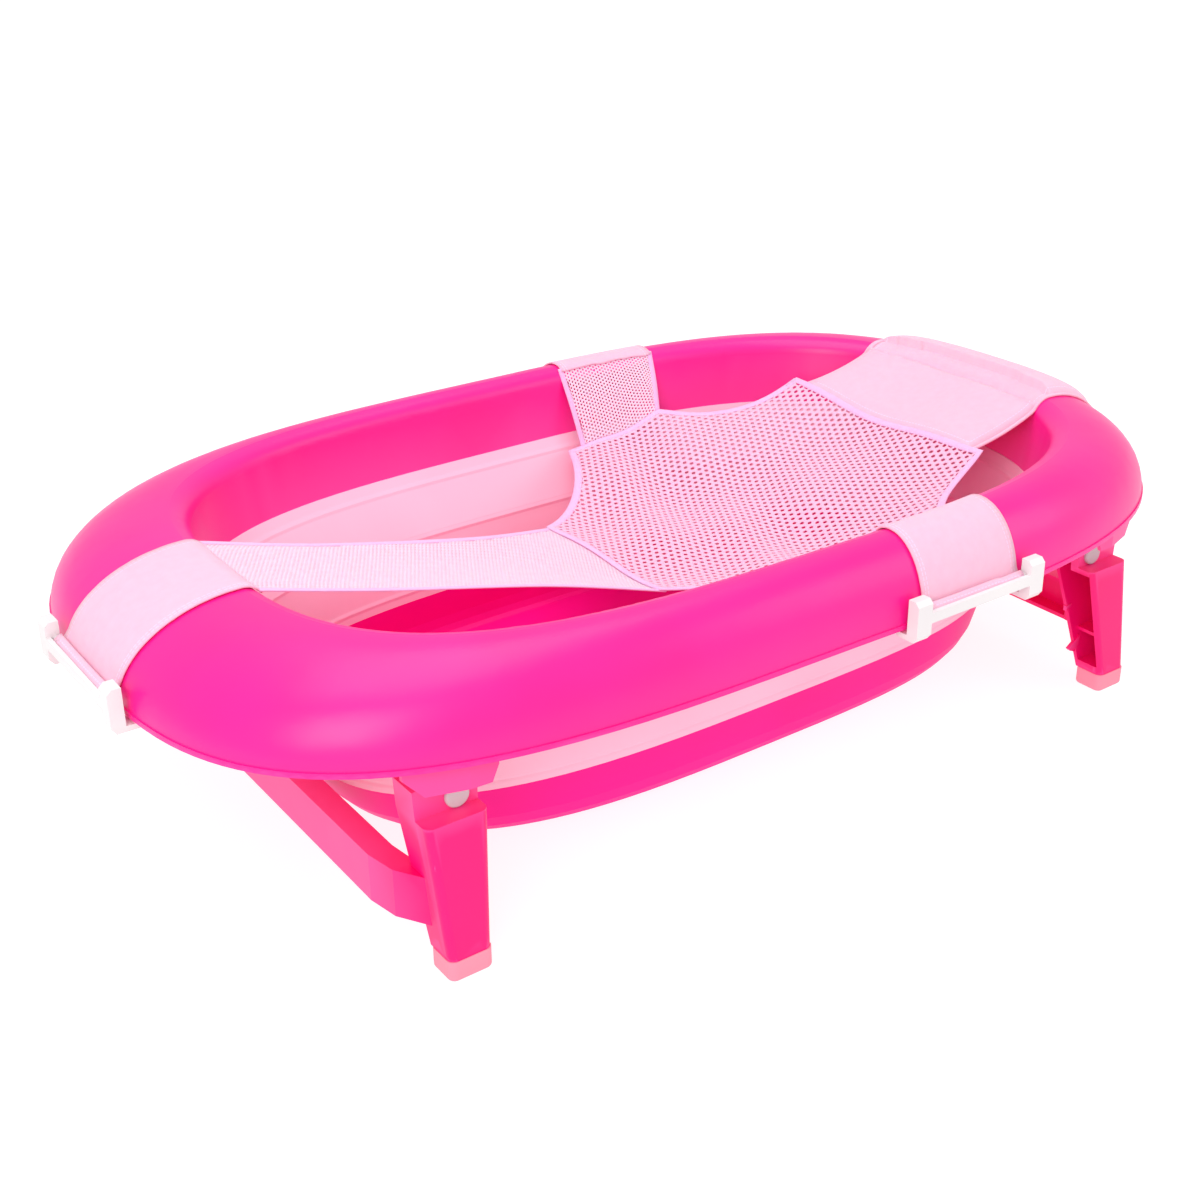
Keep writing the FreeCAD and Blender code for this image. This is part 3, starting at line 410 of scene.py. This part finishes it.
def netting(name, outline, place, pitch, strand, thickness):
    """Knitted mesh with real holes: a lattice of holed six-sided cells in (u, v), laid by place(u, v)."""
    turns = [math.radians(60 * k + 30) for k in range(6)]
    corners = [(math.cos(turn), math.sin(turn)) for turn in turns]
    radius = pitch / math.sqrt(3)
    us, vs = [p[0] for p in outline], [p[1] for p in outline]
    spots, cells = {}, []

    def vertex(x, y):
        key = (round(x / (pitch * SAME_CORNER)), round(y / (pitch * SAME_CORNER)))
        return spots.setdefault(key, (len(spots), x, y))[0]

    rows = range(int(min(vs) / (1.5 * radius)) - 1, int(max(vs) / (1.5 * radius)) + 2)
    columns = range(int(min(us) / pitch) - 1, int(max(us) / pitch) + 2)
    for row in rows:
        for column in columns:
            x = (column + 0.5 * (row % 2)) * pitch
            y = row * 1.5 * radius
            if inside(outline, x, y, pitch * CELL_MARGIN):
                cells.append([vertex(x + cx * radius, y + cy * radius) for cx, cy in corners])
    flat = sorted(spots.values())
    piece = new_piece(name, [(x, y, 0.0) for _, x, y in flat], cells)
    shape = bmesh.new()
    shape.from_mesh(piece.data)
    bmesh.ops.inset_individual(shape, faces=shape.faces[:], thickness=strand / 2, use_even_offset=True)
    holes = [face for face in shape.faces if len(face.verts) == 6]
    bmesh.ops.delete(shape, geom=holes, context="FACES_ONLY")
    weave = shape.loops.layers.uv.new("weave")
    for face in shape.faces:
        for loop in face.loops:
            loop[weave].uv = loop.vert.co.xy
    for vert in shape.verts:
        vert.co = place(vert.co.x, vert.co.y)
    shape.to_mesh(piece.data)
    shape.free()
    thicken(piece, thickness)
    return piece


# ---------------------------------------------------------------- the soft folding band

BAND_LOW, BAND_HIGH = (corner.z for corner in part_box("fold_band"))
BAND_HOOPS = 16
CREASES = ((BAND_LOW + BAND_HIGH) / 2, BAND_LOW + 7 * MM, BAND_HIGH - 9 * MM)
CREASE_WIDTH = 1.6 * MM
CREASE_DEPTH = 0.9 * MM
CREASE_CUTS = (-1.5, -0.75, 0, 0.75, 1.5)  # in crease widths


def make_band():
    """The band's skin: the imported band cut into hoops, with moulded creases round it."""
    band = new_piece("band_skin", [], [])
    band.data = NODES["fold_band"].data.copy()
    band.data.materials.clear()
    shape = bmesh.new()
    shape.from_mesh(band.data)
    levels = {BAND_LOW + (BAND_HIGH - BAND_LOW) * k / BAND_HOOPS for k in range(1, BAND_HOOPS)}
    levels |= {crease + step * CREASE_WIDTH for crease in CREASES for step in CREASE_CUTS}
    for level in sorted(levels):
        bmesh.ops.bisect_plane(shape, geom=shape.verts[:] + shape.edges[:] + shape.faces[:],
                               plane_co=(0, 0, level), plane_no=(0, 0, 1))
    for vert in shape.verts:
        depth = sum(math.exp(-((vert.co.z - crease) / CREASE_WIDTH) ** 2) for crease in CREASES)
        flat = Vector((vert.co.x, vert.co.y, 0))
        vert.co -= flat.normalized() * (CREASE_DEPTH * depth)
    shape.to_mesh(band.data)
    shape.free()
    finish_piece(band, BAND_MATERIAL, smooth=False)
    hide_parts("fold_band")
    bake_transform(band)


make_band()


# ---------------------------------------------------------------- cloth inside the tub, baked in place


def hang_from_rim(piece):
    """Cloth inside the tub: its transform is baked into its mesh."""
    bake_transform(piece)


# ---------------------------------------------------------------- where the straps lie on the rim

def tree_of(node):
    mesh = NODES[node].data
    return BVHTree.FromPolygons([v.co for v in mesh.vertices], [tuple(p.vertices) for p in mesh.polygons])


RIM = tree_of("rim")
CREST_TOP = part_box("rim")[1].z
UP = Vector((0, 0, 1))
CLOTH = 1.1 * MM
LIFT = 1.5 * MM

# The rim's section is found by rays: first down, in steps from the clip inwards, for the crest; then
# from all round towards a point inside the crest, in turn from the inner wall to the outer face.
SCAN_STEP = 0.004
SCAN_COUNT = 39
SCAN_FROM = 0.4
CENTRE_DOWN = 0.024
CENTRE_IN = 0.004
RAY_FROM = 0.3
FIRST_RAY = 180.0
LAST_RAY = -20.0


class Strap:
    """One of the net's four straps: where it crosses the rim, which way is out, and half its width."""

    def __init__(self, name, out, half):
        low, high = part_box(name + "_clip")
        self.out = Vector(out)
        self.along = UP.cross(self.out)
        self.middle = (low + high) / 2
        self.middle.z = 0
        self.half = half
        self.clip_out = max(self.out.dot(low), self.out.dot(high))
        self.clip_low = low.z

    def rim_profile(self, across, steps=60):
        """Points over the rim from its inner wall to its outer face, in one section of the strap."""
        base = self.along * (self.along.dot(self.middle) + across)
        spots = [base + self.out * (self.clip_out - SCAN_STEP * k) for k in range(1, SCAN_COUNT + 1)]
        tops = [RIM.ray_cast(spot + UP * SCAN_FROM, -UP)[0] for spot in spots]
        crest = max((top for top in tops if top), key=lambda top: top.z)
        centre = crest - UP * CENTRE_DOWN - self.out * CENTRE_IN
        points = []
        for step in range(steps + 1):
            turn = math.radians(FIRST_RAY + (LAST_RAY - FIRST_RAY) * step / steps)
            way = self.out * math.cos(turn) + UP * math.sin(turn)
            hit = RIM.ray_cast(centre + way * RAY_FROM, -way)[0]
            inner_side = turn > math.pi / 2
            if hit is not None and (inner_side or self.out.dot(hit) > self.out.dot(centre)):
                points.append(hit)
        return points


def even(points, count):
    """The same line with exactly count points, evenly spaced."""
    length = distances(points)
    result, segment = [], 0
    for step in range(count):
        want = length[-1] * step / (count - 1)
        while segment < len(points) - 2 and length[segment + 1] < want:
            segment += 1
        span = max(length[segment + 1] - length[segment], 1e-9)
        result.append(points[segment].lerp(points[segment + 1], (want - length[segment]) / span))
    return result


def resample(points, spacing):
    """The same line with points about spacing apart."""
    return even(points, max(2, round(distances(points)[-1] / spacing)) + 1)


def smooth_line(points, rounds):
    for _ in range(rounds):
        points = ([points[0]]
                  + [(a + 2 * b + c) / 4 for a, b, c in zip(points, points[1:], points[2:])]
                  + [points[-1]])
    return points


def raised(points, out, lift):
    """A section line moved off the surface it lies on, away from the tub's shell."""
    side = out.cross(UP)
    return [point + side.cross(forward).normalized() * lift
            for point, forward in zip(points, forwards(points))]


LIP_UP = 7.5 * MM  # the lip's level over the clip's lowest point
CLIP_SPAN = 11 * MM  # from the lip's edge to the clip's outermost point
RIM_LEFT_AT = 14 * MM  # over the lip, where the webbing leaves the rim's outer face
LOOP_BAR_OUT = 4.6 * MM
LOOP_BAR_UP = 9.5 * MM
LOOP_RADIUS = 2.75 * MM
LOOP_START = 180
LOOP_TURN = 215
LOOP_STEPS = 12
FREE_SPACING = 2.5 * MM
TAIL_SHARE = 0.62  # how far up the sewn-back end reaches between the bar and the rim
TAIL_OUT = 0.9
STRAP_SPACING = 1.6 * MM


def strap_line(strap, across, start_height):
    """Section of the webbing: from start_height, over the rim, down to the clip's bar and round it.

    A negative start_height starts on the rim's outer face, that far above the lip.
    """
    profile = raised(strap.rim_profile(across), strap.out, LIFT)
    crest = max(range(len(profile)), key=lambda k: profile[k].z)
    lip_level = strap.clip_low + LIP_UP
    outer = [p for p in profile[crest:] if p.z > lip_level + RIM_LEFT_AT]
    if start_height > 0:
        on_rim = [p for p in profile[:crest] if p.z > start_height] + outer
    else:
        on_rim = [p for p in outer if p.z < lip_level - start_height]
    edge = strap.clip_out - CLIP_SPAN
    flat = strap.along * (strap.along.dot(strap.middle) + across)
    bar = flat + strap.out * (edge + LOOP_BAR_OUT) + UP * (lip_level + LOOP_BAR_UP)
    wrap = []
    for step in range(LOOP_STEPS + 1):
        turn = math.radians(LOOP_START + LOOP_TURN * step / LOOP_STEPS)
        wrap.append(bar + (strap.out * math.cos(turn) + UP * math.sin(turn)) * LOOP_RADIUS)
    down = resample([on_rim[-1], wrap[0]], FREE_SPACING)[1:-1]
    back = wrap[-1].lerp(on_rim[-1], TAIL_SHARE) + strap.out * TAIL_OUT * MM
    return on_rim + down + wrap + resample([wrap[-1], back], FREE_SPACING)[1:]


def strap_rows(strap, start_height, count=15):
    lines = []
    for step in range(count):
        across = strap.half * (2 * step / (count - 1) - 1)
        lines.append(resample(strap_line(strap, across, start_height), STRAP_SPACING))
    rows_wanted = min(len(line) for line in lines)
    lines = [even(line, rows_wanted) for line in lines]
    return [[line[row] for line in lines] for row in range(rows_wanted)]


STRAPS = {
    "near": Strap("near", (0, -1, 0), 0.0445),
    "far": Strap("far", (0, 1, 0), 0.0445),
    "foot": Strap("foot", (-1, 0, 0), 0.0435),
    "head": Strap("head", (1, 0, 0), 0.0445),
}


def hinge_place(name):
    joint = next(item for item in frame["joints"] if item["name"] == name + "_buckle_swing")
    return Vector(joint["pos_m"])


def row_length(rows):
    return distances([row[len(row) // 2] for row in rows])[-1]


def make_webbing(name, replaced, start_height):
    strap = STRAPS[name]
    rows = strap_rows(strap, start_height)
    piece = ribbon(name + "_webbing", rows, CLOTH)
    finish_piece(piece, STRAP_MATERIAL)
    hinge = hinge_place(name)
    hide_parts(*replaced)
    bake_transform(piece)
    row_length(rows)
    return rows


NEAR_ROWS = make_webbing("near", ["near_strap_end", "near_strap_loop"], CREST_TOP - 7 * MM)
FAR_ROWS = make_webbing("far", ["far_strap_end", "far_strap_loop"], CREST_TOP - 3 * MM)
FOOT_ROWS = make_webbing("foot", ["foot_strap_end", "foot_strap_loop"], CREST_TOP - 6 * MM)
make_webbing("head", ["head_strap_loop"], -38 * MM)


# ---------------------------------------------------------------- the net

NET_LOW, NET_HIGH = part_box("net_mesh")
SEAM_FOOT_HALF = 0.070
SEAM_HEAD_HALF = 0.105
SIDE_MIDDLE = 0.5 * (STRAPS["near"].middle.x + STRAPS["far"].middle.x)
SIDE_HALF = 0.045
NET_PITCH = 6.0 * MM
NET_STRAND = 2.9 * MM
NET_YARN = 1.0 * MM
NET_TAPE = (6.5 * MM, 2.2 * MM)
EDGE_BOWS = (0.014, 0.0, 0.013, 0.004, 0.013, 0.0, 0.014, 0.0)  # from the far head corner round by the foot

# The net's middle line sags between two ends; across it the net is a shallow bowl with wrinkles.
SAG_FOOT_Z = 0.1154
SAG_SLOPE = 0.035
SAG_CURVE = 1.0125
SAG_HEAD_X = 0.110
BOWL_DEPTH = 0.018
PULL_DEPTH = 0.0034
PULL_SHIFT = 0.7
FOLD_DEPTH = 0.0022
FOLD_MIDDLE = 0.06
FOLD_REACH = 0.13


def net_height(x, y):
    """Middle of the sagging net, with shallow wrinkles that run between its corners."""
    from_foot = x - NET_LOW.x
    middle = SAG_FOOT_Z + SAG_SLOPE * from_foot + SAG_CURVE * from_foot * (x - SAG_HEAD_X)
    bowl = BOWL_DEPTH * (y / NET_HIGH.y) ** 2
    pull = PULL_DEPTH * math.sin(34 * (x + 0.8 * y)) * math.sin(21 * (x - 1.1 * y) + PULL_SHIFT)
    fold = FOLD_DEPTH * math.sin(88 * x - 34 * y) * max(0.0, 1 - abs(x - FOLD_MIDDLE) / FOLD_REACH)
    return middle + bowl + pull + fold


def net_spot(x, y):
    return Vector((x, y, net_height(x, y)))


def bowed(a, b, depth, steps=14):
    """A line from a to b that bows inwards, towards the net's middle, without its last point."""
    middle = Vector((SIDE_MIDDLE, 0))
    start, end = Vector(a), Vector(b)
    inward = (middle - (start + end) / 2).normalized()
    return [tuple(start.lerp(end, k / steps) + inward * depth * 4 * (k / steps) * (1 - k / steps))
            for k in range(steps)]


def net_outline():
    side = NET_HIGH.y
    far = [(NET_HIGH.x, SEAM_HEAD_HALF), (SIDE_MIDDLE + SIDE_HALF, side), (SIDE_MIDDLE - SIDE_HALF, side),
           (NET_LOW.x, SEAM_FOOT_HALF)]
    near = [(x, -y) for x, y in reversed(far)]
    corners = far + near
    outline = []
    for start, end, depth in zip(corners, corners[1:] + corners[:1], EDGE_BOWS):
        outline += bowed(start, end, depth)
    return outline


def net_normal(x, y, step=0.002):
    along = net_spot(x + step, y) - net_spot(x - step, y)
    across = net_spot(x, y + step) - net_spot(x, y - step)
    return along.cross(across).normalized()


def outline_area(outline):
    sides = zip(outline, outline[1:] + outline[:1])
    return abs(sum(ax * by - bx * ay for (ax, ay), (bx, by) in sides)) / 2


def make_net():
    outline = net_outline()
    net = netting("support_net", outline, net_spot, NET_PITCH, NET_STRAND, NET_YARN)
    finish_piece(net, NET_MATERIAL)
    hang_from_rim(net)
    path = outline + outline[:2]
    binding = tape("net_binding", [net_spot(x, y) for x, y in path], [net_normal(x, y) for x, y in path],
                   *NET_TAPE)
    finish_piece(binding, BINDING_MATERIAL)
    hang_from_rim(binding)
    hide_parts("net_mesh")
    outline_area(outline)


# ---------------------------------------------------------------- fine mesh of the straps inside the tub

FINE_PITCH = 3.0 * MM
FINE_STRAND = 1.5 * MM
FINE_YARN = 0.7 * MM
FINE_HEM = 1.5 * MM
FINE_TAPE = (5.0 * MM, 1.9 * MM)
FOOT_MESH_ROWS = 60
SIDE_MESH_ROWS = 24
SIDE_SLACK = 1.5
STRAP_OVERLAP_ROW = 2  # the fine mesh starts on this row of the webbing

# The foot strap's mesh between the net and the rim: place, half its width, height and crown.
FOOT_WAIST = (-0.115, 0.049, 0.1315, 0.004)
FOOT_NECK = (-0.235, 0.0435, 0.1635, 0.001)


def grid_place(rows):
    """place(u, v) over a grid of points, u along and v across, both in metres."""
    count = len(rows[0])
    along = distances([row[count // 2] for row in rows])
    half = [distances(row)[-1] / 2 for row in rows]

    def place(u, v):
        u = min(max(u, 0.0), along[-1])
        i = 0
        while i < len(rows) - 2 and along[i + 1] < u:
            i += 1
        share = (u - along[i]) / (along[i + 1] - along[i])
        width = half[i] + (half[i + 1] - half[i]) * share
        where = min(max((v / width + 1) / 2, 0.0), 1.0) * (count - 1)
        j = min(int(where), count - 2)
        first = rows[i][j].lerp(rows[i][j + 1], where - j)
        second = rows[i + 1][j].lerp(rows[i + 1][j + 1], where - j)
        return first.lerp(second, share)

    return place, along, half


def fine_mesh(name, rows, replaced):
    """A strap of fine mesh on a grid of points, with a binding tape down each long edge."""
    place, along, half = grid_place(rows)
    upper = [(u, h - FINE_HEM) for u, h in zip(along, half)]
    outline = upper + [(u, -v) for u, v in reversed(upper)]
    mesh = netting(name, outline, place, FINE_PITCH, FINE_STRAND, FINE_YARN)
    finish_piece(mesh, FINE_MATERIAL)
    hang_from_rim(mesh)
    for end, column in (("a", 0), ("b", -1)):
        path = [row[column] for row in rows]
        inner = [row[1 if column == 0 else -2] for row in rows]
        normals = []
        for edge, beside, forward in zip(path, inner, forwards(path)):
            normal = forward.cross(beside - edge).normalized()
            normals.append(normal if column else -normal)
        strip = tape("%s_binding_%s" % (name, end), path, normals, *FINE_TAPE)
        finish_piece(strip, BINDING_MATERIAL)
        hang_from_rim(strip)
    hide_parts(replaced)
    area = sum((half[i] + half[i + 1]) * (along[i + 1] - along[i]) for i in range(len(along) - 1))
    2 * max(half)
    min(area, 2 * max(half) * along[-1])


def curve_through(points, count):
    """Points on a smooth line through a few points (Catmull-Rom)."""
    result = []
    spans = len(points) - 1
    for step in range(count):
        t = spans * step / (count - 1)
        i = min(int(t), spans - 1)
        t -= i
        p0, p1, p2, p3 = points[max(i - 1, 0)], points[i], points[i + 1], points[min(i + 2, spans)]
        result.append(0.5 * (2 * p1 + (p2 - p0) * t + (2 * p0 - 5 * p1 + 4 * p2 - p3) * t ** 2
                             + (3 * p1 - p0 - 3 * p2 + p3) * t ** 3))
    return result


def make_foot_mesh():
    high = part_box("foot_strap_mesh")[1]
    start_x = high.x + 0.004
    columns = []
    for top in FOOT_ROWS[STRAP_OVERLAP_ROW]:
        v = top.y / STRAPS["foot"].half
        foot_y = v * SEAM_FOOT_HALF
        line = [Vector((start_x, foot_y, net_height(start_x, foot_y) - 1.5 * MM))]
        for x, half, height, crown in (FOOT_WAIST, FOOT_NECK):
            line.append(Vector((x, v * half, height + crown * v ** 2)))
        columns.append(curve_through(line + [top], FOOT_MESH_ROWS))
    rows = [[column[row] for column in columns] for row in range(FOOT_MESH_ROWS)]
    fine_mesh("foot_fine_mesh", rows, "foot_strap_mesh")


def make_side_mesh(name, top_row):
    strap = STRAPS[name]
    seam_y = (NET_HIGH.y + 0.0005) * (1 if strap.out.y > 0 else -1)
    columns = []
    for top in top_row:
        x = min(max(top.x, SIDE_MIDDLE - SIDE_HALF), SIDE_MIDDLE + SIDE_HALF)
        seam = Vector((x, seam_y, net_height(x, seam_y)))
        middle = seam.lerp(top, 0.5) - strap.out * SIDE_SLACK * MM
        columns.append(curve_through([seam, middle, top], SIDE_MESH_ROWS))
    rows = [[column[row] for column in columns] for row in range(SIDE_MESH_ROWS)]
    fine_mesh(name + "_fine_mesh", rows, name + "_strap_mesh")


# ---------------------------------------------------------------- the padded head panel

PANEL_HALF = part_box("head_panel")[1].y
PAD_DEPTH = 5.5 * MM
PAD_HEM = 1.2 * MM
PAD_COLUMNS = 41
PAD_ROWS = 56
PAD_TRIM = (5 * MM, 2.6 * MM)
PAD_ON_RIM_FROM = 9 * MM  # below the crest, where the pad leaves the rim's inner wall
PAD_ENDS_AT = 38 * MM  # over the head clip's lowest point
PAD_SAG = 2.5 * MM
PAD_SAG_STEPS = 10


def pad_line(across):
    """Section of the pad's underside: from the net's seam, over the crest and down the outer face."""
    strap = STRAPS["head"]
    profile = raised(strap.rim_profile(across, steps=80), strap.out, PAD_HEM)
    crest = max(range(len(profile)), key=lambda k: profile[k].z)
    on_rim = [p for p in profile[:crest] if p.z > CREST_TOP - PAD_ON_RIM_FROM]
    on_rim += [p for p in profile[crest:] if p.z > strap.clip_low + PAD_ENDS_AT]
    seam = Vector((NET_HIGH.x + 1 * MM, across, net_height(NET_HIGH.x, across) - 1 * MM))
    shares = [k / PAD_SAG_STEPS for k in range(PAD_SAG_STEPS)]
    inner = [seam.lerp(on_rim[0], share) - UP * (PAD_SAG * math.sin(math.pi * share)) for share in shares]
    return even(smooth_line(inner + on_rim, 3), PAD_ROWS)


def pad_skins(columns):
    """The pad's underside and its crowned top, row by row."""
    ways = [forwards(column) for column in columns]
    bottom, top = [], []
    for i in range(PAD_ROWS):
        for j in range(PAD_COLUMNS):
            u, v = i / (PAD_ROWS - 1), 2 * j / (PAD_COLUMNS - 1) - 1
            normal = Vector((0, 1, 0)).cross(ways[j][i])
            normal = (-normal if normal.z < 0 else normal).normalized()
            if i > PAD_ROWS // 2 and normal.dot(STRAPS["head"].out) < 0:
                normal = -normal
            crown = (1 - abs(2 * u - 1) ** 9) * (1 - abs(v) ** 11)
            bottom.append(columns[j][i])
            top.append(columns[j][i] + normal * (PAD_HEM + PAD_DEPTH * crown ** 0.6))
    return bottom, top


def pad_faces():
    """Faces of the two skins and of the edge between them."""
    count = PAD_ROWS * PAD_COLUMNS
    faces = []
    for i in range(PAD_ROWS - 1):
        for j in range(PAD_COLUMNS - 1):
            a = i * PAD_COLUMNS + j
            b = a + PAD_COLUMNS
            faces.append((a, a + 1, b + 1, b))
            faces.append((count + a, count + b, count + b + 1, count + a + 1))
    rim_loop = ([(0, j) for j in range(PAD_COLUMNS)]
                + [(i, PAD_COLUMNS - 1) for i in range(1, PAD_ROWS)]
                + [(PAD_ROWS - 1, j) for j in reversed(range(PAD_COLUMNS - 1))]
                + [(i, 0) for i in reversed(range(1, PAD_ROWS - 1))])
    for (i, j), (k, m) in zip(rim_loop, rim_loop[1:] + rim_loop[:1]):
        a, b = i * PAD_COLUMNS + j, k * PAD_COLUMNS + m
        faces.append((a, count + a, count + b, b))
    return faces


def map_pad(pad, length):
    """The pad's UV maps in metres: one for the weave, one with the distance from the edge."""
    weave = pad.data.uv_layers.new(name="weave")
    edge = pad.data.uv_layers.new(name="edge")
    for loop in pad.data.loops:
        i, j = divmod(loop.vertex_index % (PAD_ROWS * PAD_COLUMNS), PAD_COLUMNS)
        u, v = length * i / (PAD_ROWS - 1), 2 * PANEL_HALF * j / (PAD_COLUMNS - 1)
        weave.data[loop.index].uv = (u, v)
        side, end = min(v, 2 * PANEL_HALF - v), min(u, length - u)
        edge.data[loop.index].uv = (u, side) if side < end else (v, end)


def make_head_pad():
    columns = [pad_line(PANEL_HALF * (2 * j / (PAD_COLUMNS - 1) - 1)) for j in range(PAD_COLUMNS)]
    bottom, top = pad_skins(columns)
    pad = new_piece("head_pad", bottom + top, pad_faces())
    map_pad(pad, distances(columns[0])[-1])
    finish_piece(pad, PANEL_MATERIAL)
    hang_from_rim(pad)
    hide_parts("head_panel")
    for tag, path in (("a", columns[0]), ("b", columns[-1])):
        normals = [Vector((0, 1, 0)).cross(forward).normalized() for forward in forwards(path)]
        trim = tape("head_pad_binding_" + tag, path, normals, *PAD_TRIM)
        finish_piece(trim, TRIM_MATERIAL)
        hang_from_rim(trim)


make_net()
make_foot_mesh()
make_side_mesh("near", NEAR_ROWS[STRAP_OVERLAP_ROW])
make_side_mesh("far", FAR_ROWS[STRAP_OVERLAP_ROW])
make_head_pad()


# ---------------------------------------------------------------- floor, light and camera

FLOOR_HALF = 25
FLOOR_BELOW = 0.0002
FLOOR_GLOW = 0.86
WORLD_LIGHT = 0.72
SOFTBOXES = (  # name, place, target, size, power
    ("softbox_top", (-0.1, 0.1, 1.7), (0, 0, 0.1), (1.6, 1.2), 14),
    ("softbox_left", (-1.3, -1.0, 1.0), (-0.1, 0, 0.12), (0.9, 1.0), 13),
    ("softbox_right", (1.3, -1.2, 0.9), (0.1, 0, 0.12), (0.9, 0.9), 5),
)


def area_light(name, place, target, size, power):
    light = bpy.data.lights.new(name, "AREA")
    light.shape = "RECTANGLE"
    light.size, light.size_y = size
    light.energy = power
    holder = bpy.data.objects.new(name, light)
    bpy.context.scene.collection.objects.link(holder)
    holder.location = place
    holder.rotation_euler = (Vector(target) - Vector(place)).to_track_quat("-Z", "Y").to_euler()


def make_floor():
    corners = [(FLOOR_HALF * x, FLOOR_HALF * y, 0) for x, y in ((-1, -1), (1, -1), (1, 1), (-1, 1))]
    floor = new_piece("floor", corners, [(0, 1, 2, 3)])
    floor.location.z = -FLOOR_BELOW
    material, tree, shader = new_material("floor_paper")
    place = add(tree, "ShaderNodeTexCoord").outputs["Object"]
    tree.links.new(ramp(tree, noise(tree, place, 3.0), (0.24, 0.24, 0.24), (0.26, 0.26, 0.26)),
                   shader.inputs["Base Color"])
    shader.inputs["Roughness"].default_value = 0.9
    shader.inputs["Emission Color"].default_value = (1, 1, 1, 1)
    shader.inputs["Emission Strength"].default_value = FLOOR_GLOW
    floor.data.materials.append(material)


def make_lights():
    world = bpy.data.worlds.new("studio")
    scene = bpy.context.scene
    scene.world = world
    world.use_nodes = True
    background = world.node_tree.nodes["Background"]
    background.inputs["Color"].default_value = (1.0, 1.0, 1.0, 1.0)
    background.inputs["Strength"].default_value = WORLD_LIGHT
    for softbox in SOFTBOXES:
        area_light(*softbox)
    scene.view_settings.view_transform = "Standard"
    scene.view_settings.look = "None"


CAMERA_TARGET = Vector((0, 0, 0.120))
CAMERA_AZIMUTH = math.radians(-36.83)
CAMERA_ELEVATION = math.radians(23.74)
CAMERA_DISTANCE = 1.202
CAMERA_LENS = 48.66
CAMERA_SHIFT = (-0.0348, -0.0482)


def make_camera():
    camera = bpy.data.cameras.new("camera")
    camera.sensor_width = 36
    camera.lens = CAMERA_LENS
    camera.shift_x, camera.shift_y = CAMERA_SHIFT
    camera.clip_start = 0.05
    holder = bpy.data.objects.new("camera", camera)
    bpy.context.scene.collection.objects.link(holder)
    back = Vector((math.sin(CAMERA_AZIMUTH) * math.cos(CAMERA_ELEVATION),
                   -math.cos(CAMERA_AZIMUTH) * math.cos(CAMERA_ELEVATION),
                   math.sin(CAMERA_ELEVATION)))
    holder.location = CAMERA_TARGET + back * CAMERA_DISTANCE
    holder.rotation_euler = (-back).to_track_quat("-Z", "Y").to_euler()
    bpy.context.scene.camera = holder


make_floor()
make_lights()
make_camera()
